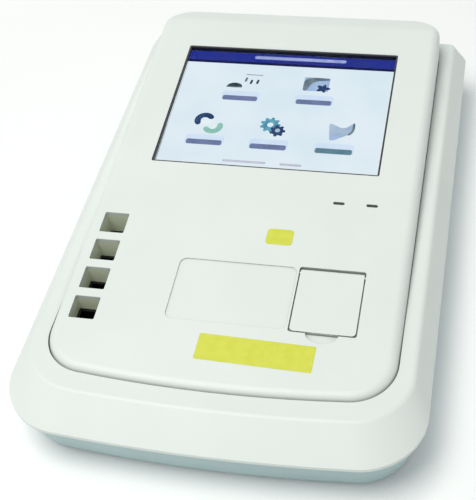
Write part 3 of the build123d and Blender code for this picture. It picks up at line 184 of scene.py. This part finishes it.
# %% [markdown]
# ## Metals
# The small metal pieces are zinc-plated steel, turned brass, nickel-plated magnets and black anodised
# aluminium. Brushing and turning leave fine scratches, which show as streaks of slightly different shine, so
# the pattern is stretched along one direction. Real scratches are under 0.1 mm wide and too fine to show, so
# they are drawn 0.5 to 1 mm wide. A metal keeps the default IOR, and its colour is what it reflects.

# %% Metals
SCRATCH_DEPTH_MM = 0.004
ALONG_X = (0.08, 1, 1)


def worked_metal(name, colour, shade, streak_mm, smooth, rough, metallic=1.0):
    """Metal with fine streaks along X: they change its colour a little and its shine more."""
    tree, shader = new_finish(name, Metallic=metallic)
    streak = clouds(tree, streak_mm, detail=4.0, stretch=ALONG_X)
    tone = follow(tree, streak, colour, shade)
    lay_on(tree, shader, tone, follow(tree, streak, smooth, rough), streak, SCRATCH_DEPTH_MM)


# The numbers are the width of a streak in mm, and the roughness of its low and its high spots.
# Zinc-plated steel: bright grey with a cool cast
worked_metal("zinc_plated_steel", "#b9bdc0", "#a8adb2", 0.8, 0.25, 0.4)
# Turned brass: warm yellow, fine turning lines
worked_metal("turned_brass", "#c9a25a", "#b8924e", 0.6, 0.22, 0.36)
# Nickel-plated magnets: bright and slightly warm
worked_metal("nickel_plated_magnet", "#c8c6c0", "#bbb8b0", 1.0, 0.15, 0.25)
# Copper tracks: reddish, a little dull from handling
worked_metal("etched_copper", "#c07a52", "#a9683f", 0.7, 0.3, 0.45)
# Black anodised aluminium of the warming and reading blocks: deep black, silky
worked_metal("black_anodised_aluminium", "#17181a", "#1e2022", 0.5, 0.35, 0.5, metallic=0.6)
print("finishes with the metals:", len(finishes))

# %% [markdown]
# ## Clear and layered materials
# The touch glass and the beam lens are real glass. The status windows are smoked acrylic over lamps that are
# off, so they look almost black. Circuit boards are glass-fibre under green lacquer, with copper tracks that
# show through as lighter lines. Two patterns, one stretched along X and one along Y, stand for the tracks,
# which are drawn about 1 mm wide, because real ones are too fine to show. The ribbon cable is amber film over
# copper stripes, 1 mm wide and 1 mm apart. A wave node draws them as the sine of 20 times its scale times the
# distance, so stripes that are d wide need a scale of pi / (20 d).

# %% Glass, acrylic, boards and ribbon
WIPE_MM = 25
WIPE_ROUGHNESS = 0.03
TRACK_MM = 1.2
TRACK_RIM = (0.62, 0.64)
STRIPE_MM = 1.0


def clear_finish(name, colour, ior):
    """Clear material: all its light passes through, and wide wipe marks take a little off its polish."""
    tree, shader = new_finish(name, Base_Color=colour, Transmission_Weight=1.0, IOR=ior)
    wipes = clouds(tree, WIPE_MM, stretch=(1, 0.3, 1))
    tree.links.new(follow(tree, wipes, 0.0, WIPE_ROUGHNESS), shader.inputs["Roughness"])


# Strengthened glass under anti-reflection layers: its low IOR stands for them, so that hardly any white room is
# mirrored in it and the picture keeps its deep blues
clear_finish("strengthened_touch_glass", "#fbfdfd", 1.04)
# Optical glass of the beam lens: clear, with a bright rim where it bends the light
clear_finish("optical_glass", "#ffffff", 1.52)
# Smoked acrylic of the status windows: nearly black while its lamp is off
tree, shader = new_finish("smoked_acrylic", IOR=1.49, Roughness=0.12, Coat_Weight=0.4)
lay_on(tree, shader, follow(tree, clouds(tree, size_mm=3), "#26292a", "#303334"))
# Milky epoxy of the lamps: cream-coloured, and light spreads a little inside it
tree, shader = new_finish("lamp_epoxy", IOR=1.5, Roughness=0.3, Subsurface_Weight=0.2, Subsurface_Scale=0.001)
lay_on(tree, shader, follow(tree, clouds(tree, size_mm=2), "#e6e4cf", "#d9d6bd"))

# Green solder mask: its tracks are raised and lighter where the stronger of the two patterns peaks
tree, shader = new_finish("green_solder_mask", IOR=1.5, Roughness=0.3, Coat_Weight=0.3)
along, across = (clouds(tree, TRACK_MM, detail=0.0, stretch=axes) for axes in ((0.05, 1, 1), (1, 0.05, 1)))
tracks = add_node(tree, "ShaderNodeMath", {0: along, 1: across}, operation="MAXIMUM").outputs["Value"]
ridges = follow(tree, tracks, 0.0, 1.0, *TRACK_RIM)
lay_on(tree, shader, follow(tree, tracks, "#0f4a2c", "#2a7a48", *TRACK_RIM), height=ridges, depth_mm=0.03)

# Amber film over copper stripes: the copper shows through as paler lines
tree, shader = new_finish("amber_film_ribbon", IOR=1.6, Roughness=0.25)
place = add_node(tree, "ShaderNodeTexCoord").outputs["Object"]
stripe = {"Vector": place, "Scale": pi / (20 * STRIPE_MM * MM)}
stripes = add_node(tree, "ShaderNodeTexWave", stripe, bands_direction="X").outputs["Fac"]
lay_on(tree, shader, follow(tree, stripes, "#8a4a16", "#c98a3c", 0.0, 1.0))
print("finishes with the clear and layered ones:", len(finishes))

# %% [markdown]
# ## Dress the engineering solids
# Each solid keeps its own mesh and only gets a better material in its slots. A table from finish to solids
# is the shortest way to say which is which, and a check prints anything that was forgotten.

# %% Give every solid its finish
DRESS = {
    "white_abs_satin_moulded": "upper_housing top_panel chamber_lid",
    "grey_abs_grained": "base_tray",
    "natural_abs_moulded": "well_guide",
    "black_abs_grained": (
        "display_bezel lid_liner display_board_parts board_parts buzzer stir_rotor rear_panel power_jack "
        "switch_body switch_rocker"
    ),
    "nitrile_rubber_matt": "rubber_feet",
    "open_cell_foam": "lid_seal",
    "silicone_heater_mat": "heater_pad",
    "zinc_plated_steel": (
        "shell_screws display_bracket display_screws temperature_sensor photodiode block_screws stir_motor "
        "motor_shaft hinge_pin board_screws clock_battery data_port serial_port lcd_module"
    ),
    "turned_brass": "standoffs laser_module",
    "nickel_plated_magnet": "rotor_magnets",
    "etched_copper": "reader_coil",
    "black_anodised_aluminium": "incubator_block reading_block",
    "strengthened_touch_glass": "touch_glass",
    "optical_glass": "beam_lens",
    "smoked_acrylic": "status_lenses",
    "lamp_epoxy": "status_lamps",
    "green_solder_mask": "display_board lamp_board reader_board detector_board main_board",
    "amber_film_ribbon": "ribbon_cable",
}
dressed = {}
for finish, names in DRESS.items():
    for name in names.split():
        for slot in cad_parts[name].material_slots:
            slot.material = finishes[finish]
        dressed[name] = finish
print("dressed:", len(dressed), "left bare:", sorted(set(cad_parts) - set(dressed)))

# %% [markdown]
# ## Places on the tilted top
# The top face leans towards the user by 4.2 degrees. A place on it is easiest to give as a distance across,
# a distance up the slope from the middle of the display, and a height above the face, all in mm. One function
# turns such points to the frame of the object.

# %% The tilted top
TILT = radians(4.2)
DISPLAY_Y, DISPLAY_Z = 82.7, 70.0


def on_top(points):
    """Points (across, up the slope, above the face) in mm, turned about X by the tilt, moved, and put in metres."""
    across, run, above = np.moveaxis(np.asarray(points, float), -1, 0)
    y = DISPLAY_Y + run * cos(TILT) - above * sin(TILT)
    z = DISPLAY_Z + run * sin(TILT) + above * cos(TILT)
    return np.stack([across, y, z], -1) * MM


print("the display's middle is at", on_top([0, 0, 0]).round(4), "m")

# %% [markdown]
# ## Thin flat bodies
# The labels and all that the display shows are thin flat bodies. One could scale a cube, but its corners
# would be sharp. Here a flat outline, counterclockwise as seen from above, is carried up through a few rings,
# and quads join each ring to the next. The lowest and the highest ring are closed with one face each, so the
# body has no open edge, and this order of the points turns every face outwards.

# %% Outlines, rings and pieces
def outline(half_width, half_depth, radius, steps=10):
    """Rounded rectangle: four quarter circles, each about its own corner centre, joined by straight sides."""
    angle = (np.linspace(0, pi / 2, steps)[None, :] + np.arange(4)[:, None] * pi / 2).ravel()
    side = np.repeat([[1, 1], [-1, 1], [-1, -1], [1, -1]], steps, axis=0)
    centre = side * np.array([half_width - radius, half_depth - radius])
    return centre + radius * np.stack([np.cos(angle), np.sin(angle)], 1)


def turned(points, degrees, centre):
    """Turns flat points by an angle, then moves them to a centre."""
    turn = radians(degrees)
    matrix = np.array([[cos(turn), sin(turn)], [-sin(turn), cos(turn)]])
    return points @ matrix + np.asarray(centre, float)


def grid_faces(rows, columns):
    """Quads between neighbouring rows of a grid whose columns run round and close."""
    row = np.arange(rows - 1)[:, None] * columns
    column = np.arange(columns)[None, :]
    after = (column + 1) % columns
    return np.stack([row + column, row + after, row + columns + after, row + columns + column], -1).reshape(-1, 4)


def make_piece(name, points, faces, finish, body="instrument"):
    """Puts points in metres and faces into a mesh object that rides on a body."""
    mesh = bpy.data.meshes.new(name)
    mesh.from_pydata(points.reshape(-1, 3).tolist(), [], faces)
    mesh.materials.append(finishes[finish])
    made = bpy.data.objects.new(name, mesh)
    bpy.context.scene.collection.objects.link(made)
    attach(made, body)


def rings(shape, insets, heights, centre, degrees=0.0):
    """Closed thin body: copies of a flat outline, each drawn towards its middle by a share and set at a height."""
    middle = shape.mean(0)
    flat = middle + (shape - middle)[None] * (1 - np.asarray(insets, float))[:, None, None]
    flat = turned(flat, degrees, centre)
    tall = np.broadcast_to(np.asarray(heights, float)[:, None, None], (*flat.shape[:2], 1))
    count = len(shape)
    faces = grid_faces(len(insets), count).tolist()
    faces.append(list(range(count))[::-1])
    faces.append(list(range((len(insets) - 1) * count, len(insets) * count)))
    return on_top(np.concatenate([flat, tall], -1)), faces


print("a rounded rectangle has", len(outline(9, 6, 2)), "points")

# %% [markdown]
# ## The picture on the display
# A liquid crystal display shines by itself, so its colours are light given off, not paint: each ink below is
# a black screen with an emission. A real backlight is never quite even, so every ink drifts between two close
# colours. The large pale inks glow a little more than the small dark ones.

# %% Display inks
def display_ink(name, colour, shade, size_mm, glow=0.85):
    """Ink of the lit picture: a soft drift between two colours, given off as light, over a dark screen."""
    tree, shader = new_finish(name, Base_Color="#0b0d10", Specular_IOR_Level=0.0, Emission_Strength=glow)
    tree.links.new(follow(tree, clouds(tree, size_mm), colour, shade), shader.inputs["Emission Color"])


# The numbers are the size of the drift in mm, and the strength of the glow where it isn't 0.85.
# The ground and the bar: a bright pale blue, and a deep blue with a darker band along its lower edge
display_ink("lcd_pale_ground", "#e9f3fb", "#e0eff8", 40, 0.95)
display_ink("lcd_navy_bar", "#26349a", "#2c3590", 30)
display_ink("lcd_navy_shade", "#101846", "#141a4c", 30)
# Lines, buttons and captions: pale or greyish, so that they stay behind the pictograms
display_ink("lcd_pale_line", "#b4c0f0", "#9aa8e2", 6)
display_ink("lcd_faint_line", "#d6d7e8", "#c9cbe0", 5)
display_ink("lcd_button_glow", "#d3e4fa", "#dbeafc", 12, 0.95)
display_ink("lcd_caption_violet", "#7f88b4", "#6d7ea6", 8)
display_ink("lcd_caption_teal", "#6f93a6", "#5f8898", 8)
# Pictograms: dark outlines, cool blues and sea greens, and a glint that is nearly white
display_ink("lcd_charcoal", "#2b3a40", "#44555c", 4)
display_ink("lcd_slate", "#5d707c", "#7f929c", 7)
display_ink("lcd_sky", "#a3c1ea", "#b5cdee", 9)
display_ink("lcd_deep_blue", "#27416e", "#35527c", 6)
display_ink("lcd_sea_green", "#8ec9bb", "#a3d6ca", 6)
display_ink("lcd_teal", "#6fb5cb", "#4f97b4", 5)
display_ink("lcd_ice_blue", "#bcd0e8", "#a9c1de", 8)
display_ink("lcd_white_glint", "#eef8fc", "#e2f2f8", 6, 0.95)
print("display inks:", [name for name in finishes if name.startswith("lcd_")])

# %% [markdown]
# ### Ground, bars and captions
# The picture is flat: a pale blue ground, a dark blue bar along the top, and five plain pictograms with two
# bars below each. An image texture would be blurred close up, so each shape is a very thin body of its own
# instead, between the display module and the glass. They lie in layers 0.03 mm apart, and a body is half a
# layer thick, so that none touches the next. An outline's numbers are half its width, half its depth and the
# radius of its corners, in mm, and each shape then has its middle, its layer and its ink.

# %% Ground, bars and captions
PICTURE_HEIGHT = -4.15
LAYER = 0.03


def picture_shape(name, shape, centre, layer, finish, degrees=0.0):
    """One flat shape of the picture, half a layer thick, on its own layer above the display."""
    low = PICTURE_HEIGHT + layer * LAYER
    points, faces = rings(shape, [0, 0], [low, low + LAYER / 2], centre, degrees)
    make_piece(name, points, faces, finish)


picture_shape("picture_ground", outline(80.6, 61.1, 0.5), (0, 0), 0, "lcd_pale_ground")
picture_shape("picture_header", outline(80.6, 6.4, 0.5), (0, 54.7), 1, "lcd_navy_bar")
picture_shape("picture_header_shade", outline(80.6, 1.3, 0.5), (0, 49.7), 2, "lcd_navy_shade")
picture_shape("picture_header_line", outline(36, 1.7, 1.6), (7, 56.6), 3, "lcd_pale_line")
picture_shape("picture_status_left", outline(16, 1.1, 1.0), (-16, -54.2), 1, "lcd_faint_line")
picture_shape("picture_status_right", outline(8, 1.1, 1.0), (18, -54.4), 1, "lcd_faint_line")
CAPTIONS = (
    (-32.0, 10.4, "lcd_caption_violet"), (24.5, 10.2, "lcd_caption_violet"), (-49.5, -37.4, "lcd_caption_violet"),
    (-1.5, -38.2, "lcd_caption_violet"), (46.5, -38.4, "lcd_caption_teal"),
)
for number, (across, run, finish) in enumerate(CAPTIONS, 1):
    picture_shape(f"picture_button_{number}", outline(14.6, 5.2, 3.0), (across, run + 2.4), 1, "lcd_button_glow")
    picture_shape(f"picture_caption_{number}", outline(13.4, 2.5, 1.6), (across, run), 2, finish)
print("captions:", len(CAPTIONS))

# %% [markdown]
# ### Outlines for the pictograms
# A pictogram could be drawn point by point, but a few numbers describe most outlines: a radius that changes
# with the angle, an arc out and an arc back, or a handful of corners that are cut round.

# %% Outlines for the pictograms
def polar(radius, count=96):
    """Closed outline from a radius that is a function of the angle."""
    angle = np.linspace(0, 2 * pi, count, endpoint=False)
    return np.stack([np.cos(angle), np.sin(angle)], 1) * radius(angle)[:, None]


def disc(radius):
    """Circle: the same radius at every angle."""
    return polar(lambda angle: np.full_like(angle, radius))


def cog(radius, teeth):
    """Cogwheel: a circle whose radius steps out and in once for each tooth."""
    return polar(lambda angle: radius * (1 + 0.13 * np.tanh(3 * np.cos(teeth * angle))), 24 * teeth)


def arch(radius, width, start, end, count=40):
    """Bent band with round ends: an arc moved out and back in by half a width, which is zero at both ends."""
    along = np.linspace(0, 1, count)
    angle = np.radians(start + (end - start) * along)
    half = width / 2 * np.sqrt(1 - (2 * along - 1) ** 8)
    arc = np.stack([np.cos(angle), np.sin(angle)], 1)
    return np.concatenate([arc * (radius + half)[:, None], (arc * (radius - half)[:, None])[::-1]])


def rounded(corners, rounds=4):
    """Closed outline from a few corners: each round cuts every corner at a quarter of its two sides."""
    line = np.asarray(corners, float)
    for _ in range(rounds):
        after = np.roll(line, -1, axis=0)
        line = np.stack([0.75 * line + 0.25 * after, 0.25 * line + 0.75 * after], 1).reshape(-1, 2)
    return line


print("points of a disc:", len(disc(1.0)), "of a cogwheel with 9 teeth:", len(cog(1.0, 9)))

# %% [markdown]
# ### The five pictograms
# They are a sample dish with a row of tubes, a picture card, a pair of turning bands, two cogwheels and a
# curled page. Each is a few shapes on layers of their own, and the corners of a shape are listed
# counterclockwise, so that its faces point outwards.

# %% Pictograms
dome = polar(lambda angle: 5.9 / np.hypot(np.cos(angle), np.where(np.sin(angle) > 0, 1.5, 4.5) * np.sin(angle)))
picture_shape("picture_dish", dome, (-38.6, 23.0), 1, "lcd_charcoal")
picture_shape("picture_dish_edge", outline(6.2, 0.6, 0.5), (-39.0, 22.4), 2, "lcd_slate")
TUBES = ((-30.9, 31.0, "lcd_slate"), (-26.5, 28.7, "lcd_charcoal"), (-21.6, 29.2, "lcd_charcoal"))
for number, (across, run, finish) in enumerate(TUBES, 1):
    picture_shape(f"picture_tube_{number}", outline(0.9, 2.4, 0.85), (across, run), 1, finish, degrees=-8)
picture_shape("picture_tube_rack", outline(6.6, 0.35, 0.3), (-25.2, 36.6), 1, "lcd_slate")

picture_shape("picture_card", outline(9.8, 7.4, 1.2), (23.8, 29.8), 1, "lcd_sky")
hill = rounded([(9.8, 7.4), (-9.8, 7.4), (-9.8, -7.4), (-6.6, -7.4), (-4.4, 0.4), (1.0, 4.2), (9.8, 4.6)])
picture_shape("picture_card_hill", hill, (23.8, 29.8), 2, "lcd_slate")
leaf = polar(lambda angle: 4.4 * (1 + 0.28 * np.cos(5 * angle)) / np.hypot(np.cos(angle), 1.25 * np.sin(angle)))
picture_shape("picture_leaf", leaf, (29.4, 25.6), 4, "lcd_deep_blue")

picture_shape("picture_turn_glint", disc(6.4), (-49.8, -18.6), 1, "lcd_white_glint")
picture_shape("picture_turn_light", arch(5.4, 4.6, 190, 400), (-46.2, -20.8), 2, "lcd_sea_green")
picture_shape("picture_turn_dark", arch(5.4, 4.8, 15, 235), (-53.6, -15.2), 3, "lcd_deep_blue")

picture_shape("picture_cog_large", cog(6.8, 9), (-3.6, -15.8), 1, "lcd_teal")
picture_shape("picture_hub_large", disc(2.3), (-3.6, -15.8), 2, "lcd_white_glint")
picture_shape("picture_cog_small", cog(5.2, 7), (2.8, -21.6), 3, "lcd_deep_blue")
picture_shape("picture_hub_small", disc(1.9), (2.8, -21.2), 4, "lcd_ice_blue")

page = [
    (-7.8, -2.0), (-6.8, -11.6), (6.6, -4.4), (9.8, 0.6), (9.0, 8.6), (5.0, 3.4), (0.6, 2.0), (-5.0, 5.4),
    (-9.2, 6.6),
]
picture_shape("picture_page", rounded(page), (48.6, -17.0), 1, "lcd_ice_blue")
edge = [(8.6, 0.0), (5.4, -4.2), (7.0, -5.0), (10.4, -0.6), (10.2, 8.0), (8.4, 8.2)]
picture_shape("picture_page_edge", rounded(edge), (48.6, -17.0), 2, "lcd_slate")
tail = [(-6.8, -11.8), (0.8, -8.2), (-1.0, -5.0), (-7.2, -6.2)]
picture_shape("picture_page_tail", rounded(tail), (48.6, -17.0), 3, "lcd_sky")

# %% [markdown]
# ## Two plain yellow labels
# Two vinyl labels lie on the top: a small one above the card pad and a long one near the front edge. Such a
# film with its glue and its clear cover is 0.18 mm thick, and glossier than the plastic round it. A thin body
# with a rounded rim gives it a bright edge line that paint would not have. They carry nothing.

# %% Labels
RIPPLE_MM = 6.0
RIM_INSETS = [0, 0, 0.004, 0.012]
RIM_HEIGHTS = [0.0, 0.1, 0.16, 0.18]

# Yellow vinyl film: half glossy under its clear cover, with faint ripples from the glue
tree, shader = new_finish("yellow_vinyl_film", IOR=1.5, Coat_Weight=0.25, Coat_Roughness=0.15)
ripple = clouds(tree, RIPPLE_MM)
tone = follow(tree, ripple, "#dce24c", "#d4da42")
lay_on(tree, shader, tone, follow(tree, ripple, 0.3, 0.42), ripple, depth_mm=0.02)


def label(name, half_width, half_depth, radius, centre, degrees):
    """Vinyl label: its outline at the face, at full height just inside, and over the rim to a flat top."""
    points, faces = rings(outline(half_width, half_depth, radius), RIM_INSETS, RIM_HEIGHTS, centre, degrees)
    make_piece(name, points, faces, "yellow_vinyl_film")


label("label_small", 9.0, 6.6, 2.6, (23.0, -123.3), degrees=0.0)
label("label_long", 37.0, 9.5, 1.0, (23.5, -215.0), degrees=-1.3)

# %% [markdown]
# ## Camera
# The camera stands at the front right, well above the table. Its place, angles and focal length were worked
# out from straight edges of known size in the photograph. The small shift puts the object where the
# photograph has it in its frame; there is no depth of field.

# %% Camera
camera = bpy.data.objects.new("camera", bpy.data.cameras.new("camera"))
bpy.context.scene.collection.objects.link(camera)
bpy.context.scene.camera = camera
camera.location = (0.14815, -0.51197, 0.57451)
camera.rotation_euler = (radians(44.2096), radians(4.7989), radians(11.0038))
camera.data.sensor_width = 36.0
camera.data.lens = 76.54
camera.data.shift_x = -0.0527
camera.data.shift_y = -0.0550
camera.data.clip_start = 0.01
print("camera:", [round(value, 3) for value in camera.location], "focal length", camera.data.lens)

# %% [markdown]
# ## Floor
# The floor is a wide pale disc that keeps the object's shadow. For the eye only, it shines a little by itself,
# like a light table, and more so far away, so that the shadow stays pale and no horizon shows. The light path
# node tells such rays from the ones that bring light to the object, which the glow must not reach.

# %% Floor
FLOOR_RADIUS = 4.0
FLOOR_HEIGHT = -0.0002
NEAR, FAR = 0.4, 3.0
NEAR_GLOW, FAR_GLOW = 0.1, 0.75


def seen_rays(tree):
    """1 for rays that end in the eye, straight, off a gloss or through glass, and 0 for rays that bring light."""
    path = add_node(tree, "ShaderNodeLightPath").outputs
    rays = [path[f"Is {kind} Ray"] for kind in ("Camera", "Glossy", "Transmission")]
    shine = add_node(tree, "ShaderNodeMath", {0: rays[1], 1: rays[2]}, operation="MAXIMUM").outputs[0]
    return add_node(tree, "ShaderNodeMath", {0: rays[0], 1: shine}, operation="MAXIMUM").outputs[0]


# Pale paper: matt and nearly white, so that only the soft shadow shows on it
tree, shader = new_finish("pale_floor_paper", Roughness=0.9, IOR=1.3, Emission_Color="#f8fbfb")
place = add_node(tree, "ShaderNodeTexCoord").outputs["Object"]
away = add_node(tree, "ShaderNodeVectorMath", {0: place}, operation="LENGTH").outputs["Value"]
glow = follow(tree, away, NEAR_GLOW, FAR_GLOW, NEAR, FAR)
glow = add_node(tree, "ShaderNodeMath", {0: glow, 1: seen_rays(tree)}, operation="MULTIPLY").outputs[0]
tree.links.new(glow, shader.inputs["Emission Strength"])
lay_on(tree, shader, follow(tree, clouds(tree, size_mm=300), "#fbfcfc", "#f8fafa"))
turn = np.linspace(0, 2 * pi, 64, endpoint=False)
rim = FLOOR_RADIUS * np.stack([np.cos(turn), np.sin(turn)], 1)
floor_points = np.concatenate([rim, np.full((len(turn), 1), FLOOR_HEIGHT)], 1)
floor_mesh = bpy.data.meshes.new("floor")
floor_mesh.from_pydata(floor_points.tolist(), [], [list(range(len(turn)))])
floor_mesh.materials.append(finishes["pale_floor_paper"])
floor = bpy.data.objects.new("floor", floor_mesh)
bpy.context.scene.collection.objects.link(floor)
print("floor radius in m:", FLOOR_RADIUS, "glow:", NEAR_GLOW, "to", FAR_GLOW)

# %% [markdown]
# ## World and lamp
# Product photographs are lit by large soft lamps and a pale room. The world gives even light from all around,
# and one large lamp, high at the front left, gives the main light and the soft shadow. A lamp that is high
# keeps the top and the front slope equally bright and leaves the right wall darker, as the photograph has
# them. The world is white to the eye, in a mirror and through glass, but weaker as a light.

# %% World and lamp
WORLD_LIGHT = 0.37
world = bpy.data.worlds.new("studio")
bpy.context.scene.world = world
world.use_nodes = True
tree = world.node_tree
tree.nodes.clear()
room = add_node(tree, "ShaderNodeBackground", {"Color": "#f4f8fa", "Strength": WORLD_LIGHT})
shown = add_node(tree, "ShaderNodeBackground", {"Color": "#ffffff", "Strength": 1.0})
both = add_node(tree, "ShaderNodeMixShader", {0: seen_rays(tree), 1: room.outputs[0], 2: shown.outputs[0]})
add_node(tree, "ShaderNodeOutputWorld", {"Surface": both.outputs[0]})


def soft_lamp(name, place, target, size, power, colour):
    """Square area lamp that faces a point: turned so that its own -Z axis points there."""
    lamp = bpy.data.lights.new(name, "AREA")
    lamp.size = size
    lamp.energy = power
    lamp.color = linear(colour)[:3]
    made = bpy.data.objects.new(name, lamp)
    made.location = place
    dx, dy, dz = (t - p for t, p in zip(target, place))
    made.rotation_euler = (atan2((dx * dx + dy * dy) ** 0.5, -dz), 0, atan2(dy, dx) - pi / 2)
    bpy.context.scene.collection.objects.link(made)


soft_lamp("lamp_front_left", (-0.48, -0.40, 2.12), (0, 0, 0.04), size=1.3, power=33.5, colour="#fffdf8")
bpy.context.scene.view_settings.view_transform = "Standard"
